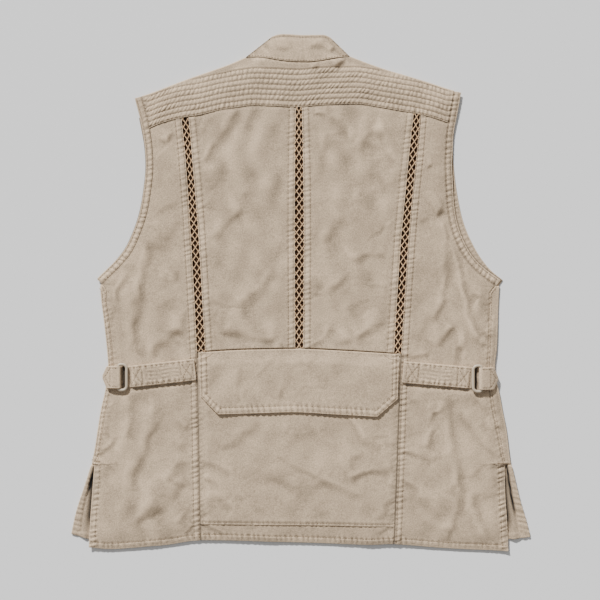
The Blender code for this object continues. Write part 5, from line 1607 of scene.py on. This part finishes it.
def tab_lines(side):
    """Stitch lines of a tab: along both long edges, one across beside its point, and two along the point."""
    _bar, middle, point = RINGS[side]
    loop_x, _tip_x = tab_ends(side)
    low, high = middle - TAB_WIDTH / 2 + 2.6, middle + TAB_WIDTH / 2 - 2.6
    across, tip = point + INWARD[side] * 11.5, (point + INWARD[side] * 3.5, middle)
    lines = [[(loop_x, high), (across, high)], [(loop_x, low), (across, low)],
             [(across, high), (across, low)], [(across, high), tip], [tip, (across, low)]]
    return [np.array(line, float) for line in lines]


def tab_relief(side, x, y):
    """Sunk stitch lines and small puckers of a tab, each a bell across its line."""
    relief = np.zeros(x.shape)
    for number, line in enumerate(tab_lines(side)):
        away, ahead, past = beside(line, x, y)
        relief -= 0.35 * bell(away, 1.0) * bell(past, 1.2)
        if number < 2:
            relief += 0.2 * bell(away, 3.5) * ripple(ahead, 2.1 * number)
    return relief


def tab_top(side, x, y):
    """Height of a tab's upper leg."""
    return tab_height(side, x) + tab_relief(side, x, y)


def make_tab(side, finish):
    """Pointed tab: a strip folded round the ring's straight bar, with its two legs sewn together.

    Each skin is a line of x and height, lower leg, half circle, upper leg, drawn across the width, which
    narrows to 0.12 over the point. Near the ring the lower leg rises or sinks to the half circle's foot.
    """
    middle, outward = RINGS[side][1], -INWARD[side]
    loop_x, tip_x = tab_ends(side)
    x_leg = tip_x + even(abs(loop_x - tip_x), TAB_STEP) * (loop_x - tip_x)
    low = level(x_leg, np.full(x_leg.shape, middle)) + STACK_GAP
    high = tab_height(side, x_leg)
    centre = ring_level(side)
    angle = np.radians(np.linspace(-90, 90, 11))[1:-1]
    join = np.clip((np.abs(x_leg - tip_x) / abs(loop_x - tip_x) - 0.7) / 0.3, 0, 1) ** 2
    share = np.linspace(-1, 1, 27)[:, None]
    half, sections = None, []
    for inset in (0, TAB_WALL):
        radius, lower = TAB_TURN - inset, low + inset
        lower = lower + join * (centre - radius - lower)
        x = np.concatenate([x_leg, loop_x - outward * radius * np.cos(angle), x_leg[::-1]])
        z = np.concatenate([lower, centre + radius * np.sin(angle), (high - inset)[::-1]])
        if half is None:
            half = (TAB_WIDTH / 2 - 0.6) * np.clip(0.12 + 0.88 * np.abs(x - tip_x) / TAB_POINT, 0, 1)
        y = middle + share * half[None]
        wide_x = np.broadcast_to(x, y.shape)
        relief = tab_relief(side, wide_x, y)
        relief[:, :len(x_leg)] = 0
        sections.append(np.dstack([wide_x, y, z + relief]))
    made = shell(f"pointed_tab_{side}", *sections, finish)
    finished(made, f"tab_{side}", (0.078, 0.032))


def threads_on(height, *first, **which):
    """Height function for stitches on a surface, just above its grooves."""
    return lambda x, y: height(*first, x, y, **which) + THREAD_RISE


def quilt_stitches(heights):
    """Stitches of the yoke's parallel lines, cut off at the bands and at the shoulder folds."""
    found = []
    for rise in QUILT_LINES[1:]:
        line = coarse(YOKE_LINE, 8.0) + (0.0, rise)
        x, y = line[:, 0], line[:, 1]
        inside = ((x > by_y(BAND_INNER["left"], y) + 1.5) & (x < by_y(BAND_INNER["right"], y) - 1.5)
                  & (y < by_x(EDGE_ABOVE, x) - 3))
        found.append(stitch_run(line[inside], heights, 1.0))
    return np.concatenate(found)


def tack_stitches(lines, heights):
    """Close stitches of short tacks."""
    return [stitch_run(smooth(line), heights, 0.1, 1.5, 1.7) for line in lines]


def make_sewing(width, finish):
    """All the topstitching, one object for each surface it lies on."""
    back, yoke, collar = (threads_on(vest_top, **which) for which in ({}, {"yoke": True}, {"collar": True}))
    flap = threads_on(flap_top)
    groups = {
        "back": [row_stitches(BACK_ROWS, back)] + tack_stitches(SLIT_TACKS, back),
        "yoke": [quilt_stitches(yoke), row_stitches(YOKE_ROWS[:1], yoke, 4.0)],
        "pouch": [row_stitches(POUCH_ROWS, threads_on(pouch_top))],
        "flap": [row_stitches(FLAP_ROWS, flap)] + tack_stitches(FLAP_TACKS, flap),
        "collar": [stitch_run(COLLAR_LINE + (0.0, COLLAR_STITCH), collar, 4.0),
                   stitch_run(smooth(COLLAR_TOP) - (0.0, COLLAR_RIM), collar, 3.0)],
    }
    for side in SIDES:
        for piece, lines, top in (("strap", strap_lines(side)[0], strap_top),
                                  ("tab", tab_lines(side), tab_top)):
            groups[f"{piece}_{side}"] = [stitch_run(line, threads_on(top, side), 0.3) for line in lines]
    for group, found in groups.items():
        made = make_stitches(f"stitches_{group}", np.concatenate(found), width, finish)
        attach(made, "root")


SHEETS = []     # each piece of cloth and the flat cut it was made from


def finished(made, node, flat):
    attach(made, "root")
    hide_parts(node)
    if flat:
        SHEETS.append((made, flat))


def new_material(name):
    """A material, its node tree, its shader and the object's own coordinates."""
    made = bpy.data.materials.new(name)
    made.use_nodes = True
    tree = made.node_tree
    return made, tree, tree.nodes["Principled BSDF"], tree.nodes.new("ShaderNodeTexCoord").outputs["Object"]


def set_sockets(tree, node, values):
    """Sets or links the inputs of a node: a socket is linked, and any other value is a constant."""
    for name, value in values.items():
        if isinstance(value, bpy.types.NodeSocket):
            tree.links.new(value, node.inputs[name])
        else:
            node.inputs[name].default_value = value


def noise(tree, place, scale, detail=2.0):
    """Noise over the object's own coordinates."""
    node = tree.nodes.new("ShaderNodeTexNoise")
    set_sockets(tree, node, {"Vector": place, "Scale": scale, "Detail": detail})
    return node.outputs["Fac"]


def attribute(tree, name):
    """A value that the mesh holds at each point."""
    node = tree.nodes.new("ShaderNodeAttribute")
    node.attribute_name = name
    return node.outputs["Fac"]


def maths(tree, kind, first, second):
    """The sum or the product of two values."""
    node = tree.nodes.new("ShaderNodeMath")
    node.operation = kind
    set_sockets(tree, node, {0: first, 1: second})
    return node.outputs[0]


def cloth_material(name, colour, dark, light, sheen=0.12):
    """Woven cloth: two crossed waves for the weave, a noise for the yarn, fading and a painted highlight on
    its ridges, and painted shade in its troughs.

    The colour runs from dark to light over tone = 0.266 (0.9 cloudy + 3.2 grainy + 1.35 wear) - 0.027, and
    the painted-shade attribute blends it into near black: painted shade in joints, crevices and openings.
    """
    made, tree, shader, place = new_material(name)
    set_sockets(tree, shader, {"Roughness": 0.9, "Sheen Weight": sheen, "Sheen Roughness": 0.5,
                               "Specular IOR Level": 0.25})
    cloudy, grainy = noise(tree, place, CLOUD_SCALE, 3.0), noise(tree, place, YARN_SCALE)
    tone = maths(tree, "ADD", maths(tree, "MULTIPLY", cloudy, 0.9), maths(tree, "MULTIPLY", grainy, 3.2))
    # The wear attribute: fading plus painted highlight on ridges and rims, painted shade in troughs.
    tone = maths(tree, "ADD", tone, maths(tree, "MULTIPLY", attribute(tree, "wear"), 1.35))
    tone = maths(tree, "ADD", maths(tree, "MULTIPLY", tone, 0.266), -0.027)
    ramp = tree.nodes.new("ShaderNodeValToRGB")
    for element, position, factor in zip(ramp.color_ramp.elements, (0.4, 1.0), (dark, light)):
        element.position = position
        element.color = (*[min(value * factor, 1) for value in colour], 1)
    set_sockets(tree, ramp, {"Fac": tone})
    # Painted shade: the colour is mixed toward a near-black shade colour where the painted-shade attribute is
    # high.
    sunk = tree.nodes.new("ShaderNodeMix")
    sunk.data_type = "RGBA"
    set_sockets(tree, sunk, {"Factor": attribute(tree, "deep"), "A": ramp.outputs["Color"], "B": PAINTED_SHADE_COLOUR})
    threads = []
    for axis in ("X", "Y"):
        wave = tree.nodes.new("ShaderNodeTexWave")
        wave.bands_direction = axis
        set_sockets(tree, wave, {"Vector": place, "Scale": WEAVE_SCALE, "Distortion": 1.2, "Detail": 1.0})
        threads.append(wave.outputs["Fac"])
    height = maths(tree, "ADD", maths(tree, "MULTIPLY", *threads), maths(tree, "MULTIPLY", grainy, 0.8))
    relief = tree.nodes.new("ShaderNodeBump")
    set_sockets(tree, relief, {"Strength": 0.35, "Distance": 0.0002, "Height": height})
    set_sockets(tree, shader, {"Base Color": sunk.outputs[2], "Normal": relief.outputs["Normal"]})
    return made


def plain_material(name, colour, roughness, sheen=0.0):
    """One plain finish with a faint mottle in its roughness."""
    made, tree, shader, place = new_material(name)
    spread = tree.nodes.new("ShaderNodeMapRange")
    set_sockets(tree, spread, {"Value": noise(tree, place, MOTTLE_SCALE), "To Min": roughness - MOTTLE,
                               "To Max": roughness + MOTTLE})
    set_sockets(tree, shader, {"Base Color": (*colour, 1), "Sheen Weight": sheen,
                               "Roughness": spread.outputs["Result"]})
    return made


def linear(red, green, blue):
    """A colour of 0 to 255 as the renderer's linear values."""
    share = np.array((red, green, blue)) / 255
    return tuple(np.where(share <= 0.04045, share / 12.92, ((share + 0.055) / 1.055) ** 2.4).tolist())


class VestSizes(bpy.types.PropertyGroup):
    """Sizes and colours of the vest that can be changed before it is built."""

    thread: bpy.props.FloatProperty(name="Thread", description="Width of a stitch", default=0.00062,
                                    unit="LENGTH", subtype="DISTANCE")
    net: bpy.props.FloatProperty(name="Net thread", description="Radius of a thread of the net",
                                 default=0.00066, unit="LENGTH", subtype="DISTANCE")
    wire: bpy.props.FloatProperty(name="Ring wire", description="Thickness of a ring", default=0.0042,
                                  unit="LENGTH", subtype="DISTANCE")
    cotton: bpy.props.FloatVectorProperty(name="Cotton", description="Colour of the cloth",
                                          default=linear(193, 170, 142), size=3, subtype="COLOR")
    sewing: bpy.props.FloatVectorProperty(name="Sewing thread", description="Colour of the stitches",
                                          default=linear(138, 116, 90), size=3, subtype="COLOR")
    mesh: bpy.props.FloatVectorProperty(name="Net", description="Colour of the net",
                                        default=linear(206, 172, 132), size=3, subtype="COLOR")
    lining: bpy.props.FloatVectorProperty(name="Lining", description="Colour behind the net",
                                          default=linear(62, 38, 20), size=3, subtype="COLOR")
    ring: bpy.props.FloatVectorProperty(name="Ring", description="Colour of the rings",
                                        default=linear(186, 170, 148), size=3, subtype="COLOR")
    floor: bpy.props.FloatVectorProperty(name="Floor", description="Colour of the studio floor",
                                         default=linear(238, 238, 238), size=3, subtype="COLOR")
    sun: bpy.props.FloatProperty(name="Key light", description="Strength of the key light", default=6.4)
    fill: bpy.props.FloatProperty(name="Fill light", description="Strength of the light from all round",
                                  default=0.36)
    height: bpy.props.FloatProperty(name="Camera height", description="Height of the camera over the surface",
                                    default=2.2, unit="LENGTH", subtype="DISTANCE")


def sizes():
    """The vest's sizes and colours."""
    return bpy.context.scene.vest_sizes


def finish_of(name):
    """A finish of the vest, made when it is first asked for."""
    full = f"vest_{name}"
    chosen = sizes()
    if full in bpy.data.materials:
        return bpy.data.materials[full]
    if name == "cotton":
        return cloth_material(full, chosen.cotton, 0.50, 1.40)
    if name == "lining":
        return cloth_material(full, chosen.lining, 0.9, 1.1, sheen=0.0)
    if name == "sewing":
        return plain_material(full, chosen.sewing, 0.85, 0.1)
    if name == "net":
        return plain_material(full, chosen.mesh, 0.75, 0.1)
    return plain_material(full, chosen.ring, 0.42)


class BuildPanels(bpy.types.Operator):
    """Builds the panels of the back: both upper and both side panels and the lower middle one"""

    bl_idname = "vest.panels"
    bl_label = "Back panels"

    def execute(self, context):
        for side in SIDES:
            make_upper_back(side, finish_of("cotton"))
            make_side_back(side, finish_of("cotton"))
        make_lower_back(finish_of("cotton"))
        return {"FINISHED"}


class BuildFronts(bpy.types.Operator):
    """Builds both fronts, folded round the sides"""

    bl_idname = "vest.fronts"
    bl_label = "Fronts"

    def execute(self, context):
        for side in SIDES:
            make_front(side, finish_of("cotton"))
        return {"FINISHED"}


class BuildYoke(bpy.types.Operator):
    """Builds the quilted yoke"""

    bl_idname = "vest.yoke"
    bl_label = "Yoke"

    def execute(self, context):
        make_yoke(finish_of("cotton"))
        return {"FINISHED"}


class BuildCollar(bpy.types.Operator):
    """Builds the stand collar"""

    bl_idname = "vest.collar"
    bl_label = "Collar"

    def execute(self, context):
        make_collar(finish_of("cotton"))
        return {"FINISHED"}


class BuildBands(bpy.types.Operator):
    """Builds the armhole bands of the back and of the fronts"""

    bl_idname = "vest.bands"
    bl_label = "Armhole bands"

    def execute(self, context):
        for side in SIDES:
            make_bands(side, finish_of("cotton"))
        return {"FINISHED"}


class BuildPouch(bpy.types.Operator):
    """Builds the back pouch and its flap"""

    bl_idname = "vest.pouch"
    bl_label = "Pouch and flap"

    def execute(self, context):
        make_pouch(finish_of("cotton"))
        make_flap(finish_of("cotton"))
        return {"FINISHED"}


class BuildVents(bpy.types.Operator):
    """Builds the nets of the three vents and the dark strips behind them"""

    bl_idname = "vest.vents"
    bl_label = "Vents"

    def execute(self, context):
        for side in VENTS:
            make_lining(side, finish_of("lining"))
            make_net(side, sizes().net / MM, finish_of("net"))
        return {"FINISHED"}


class BuildStraps(bpy.types.Operator):
    """Builds the waist straps and the pointed tabs"""

    bl_idname = "vest.straps"
    bl_label = "Straps and tabs"

    def execute(self, context):
        for side in SIDES:
            make_strap(side, finish_of("cotton"))
            make_tab(side, finish_of("cotton"))
        return {"FINISHED"}


class BuildRings(bpy.types.Operator):
    """Builds the two rings"""

    bl_idname = "vest.rings"
    bl_label = "Rings"

    def execute(self, context):
        for side in SIDES:
            make_ring(side, sizes().wire / MM, finish_of("ring"))
        return {"FINISHED"}


class BuildSewing(bpy.types.Operator):
    """Builds the topstitching"""

    bl_idname = "vest.sewing"
    bl_label = "Topstitching"

    def execute(self, context):
        make_sewing(sizes().thread / MM, finish_of("sewing"))
        return {"FINISHED"}


class BuildStage(bpy.types.Operator):
    """Sets the floor, the lights and the camera straight above the vest"""

    bl_idname = "vest.stage"
    bl_label = "Studio"

    def execute(self, context):
        chosen = sizes()
        data = bpy.data.meshes.new("floor")
        signs = ((-1, -1), (1, -1), (1, 1), (-1, 1))
        corners = [(FLOOR_REACH * x, FLOOR_REACH * y, FLOOR_DROP) for x, y in signs]
        data.from_pydata(corners, [], [(0, 1, 2, 3)])
        data.materials.append(plain_material("studio_floor", chosen.floor, 0.8))
        linked("floor", data)
        sun = bpy.data.lights.new("key", "SUN")
        sun.energy = chosen.sun
        sun.angle = math.radians(5)
        key = linked("key", sun)
        key.rotation_euler = (math.pi / 2 - math.radians(SUN_RISE), 0, math.radians(SUN_TURN))
        world = bpy.data.worlds.new("studio")
        world.use_nodes = True
        background = world.node_tree.nodes["Background"]
        set_sockets(world.node_tree, background, {"Color": (1, 1, 1, 1), "Strength": chosen.fill})
        context.scene.world = world
        camera = bpy.data.cameras.new("camera")
        camera.sensor_width = 36
        camera.lens = 36 * chosen.height / PHOTO_WIDTH
        camera.clip_end = 20
        context.scene.camera = linked("camera", camera)
        context.scene.camera.location = (*PHOTO_MIDDLE, chosen.height)
        return {"FINISHED"}


BUILDERS = (BuildPanels, BuildFronts, BuildYoke, BuildCollar, BuildBands, BuildPouch, BuildVents,
            BuildStraps, BuildRings, BuildSewing, BuildStage)


class VestPanel(bpy.types.Panel):
    """Lists the steps that build the vest"""

    bl_idname = "VIEW3D_PT_vest"
    bl_label = "Photographer vest"
    bl_space_type = "VIEW_3D"
    bl_region_type = "UI"
    bl_category = "Vest"

    def draw(self, context):
        chosen = sizes()
        for name in VestSizes.__annotations__:
            self.layout.prop(chosen, name)
        for builder in BUILDERS:
            self.layout.operator(builder.bl_idname)


def register():
    """Registers the sizes, the operators and the panel."""
    for kind in (VestSizes, *BUILDERS, VestPanel):
        bpy.utils.register_class(kind)
    bpy.types.Scene.vest_sizes = bpy.props.PointerProperty(type=VestSizes)


def unregister():
    """Takes them away again."""
    del bpy.types.Scene.vest_sizes
    for kind in reversed((VestSizes, *BUILDERS, VestPanel)):
        bpy.utils.unregister_class(kind)


def cloth_area(thing):
    """Area of one layer of a piece of cloth in square metres."""
    sides = np.zeros(len(thing.data.polygons))
    thing.data.polygons.foreach_get("area", sides)
    return float(sides.sum()) / 2


def declare_sheets():
    """Works out for each piece of cloth how much of its flat cut its area fills."""
    for thing, (width, length) in SHEETS:
        share = min(max(1.05 * cloth_area(thing) / (width * length), 0.3), 1.0)


def main():
    """Builds every piece and the studio."""
    register()
    bpy.ops.vest.panels()
    bpy.ops.vest.fronts()
    bpy.ops.vest.yoke()
    bpy.ops.vest.collar()
    bpy.ops.vest.bands()
    bpy.ops.vest.pouch()
    bpy.ops.vest.vents()
    bpy.ops.vest.straps()
    bpy.ops.vest.rings()
    bpy.ops.vest.sewing()
    bpy.ops.vest.stage()
    declare_sheets()


if __name__ == "__main__":
    main()
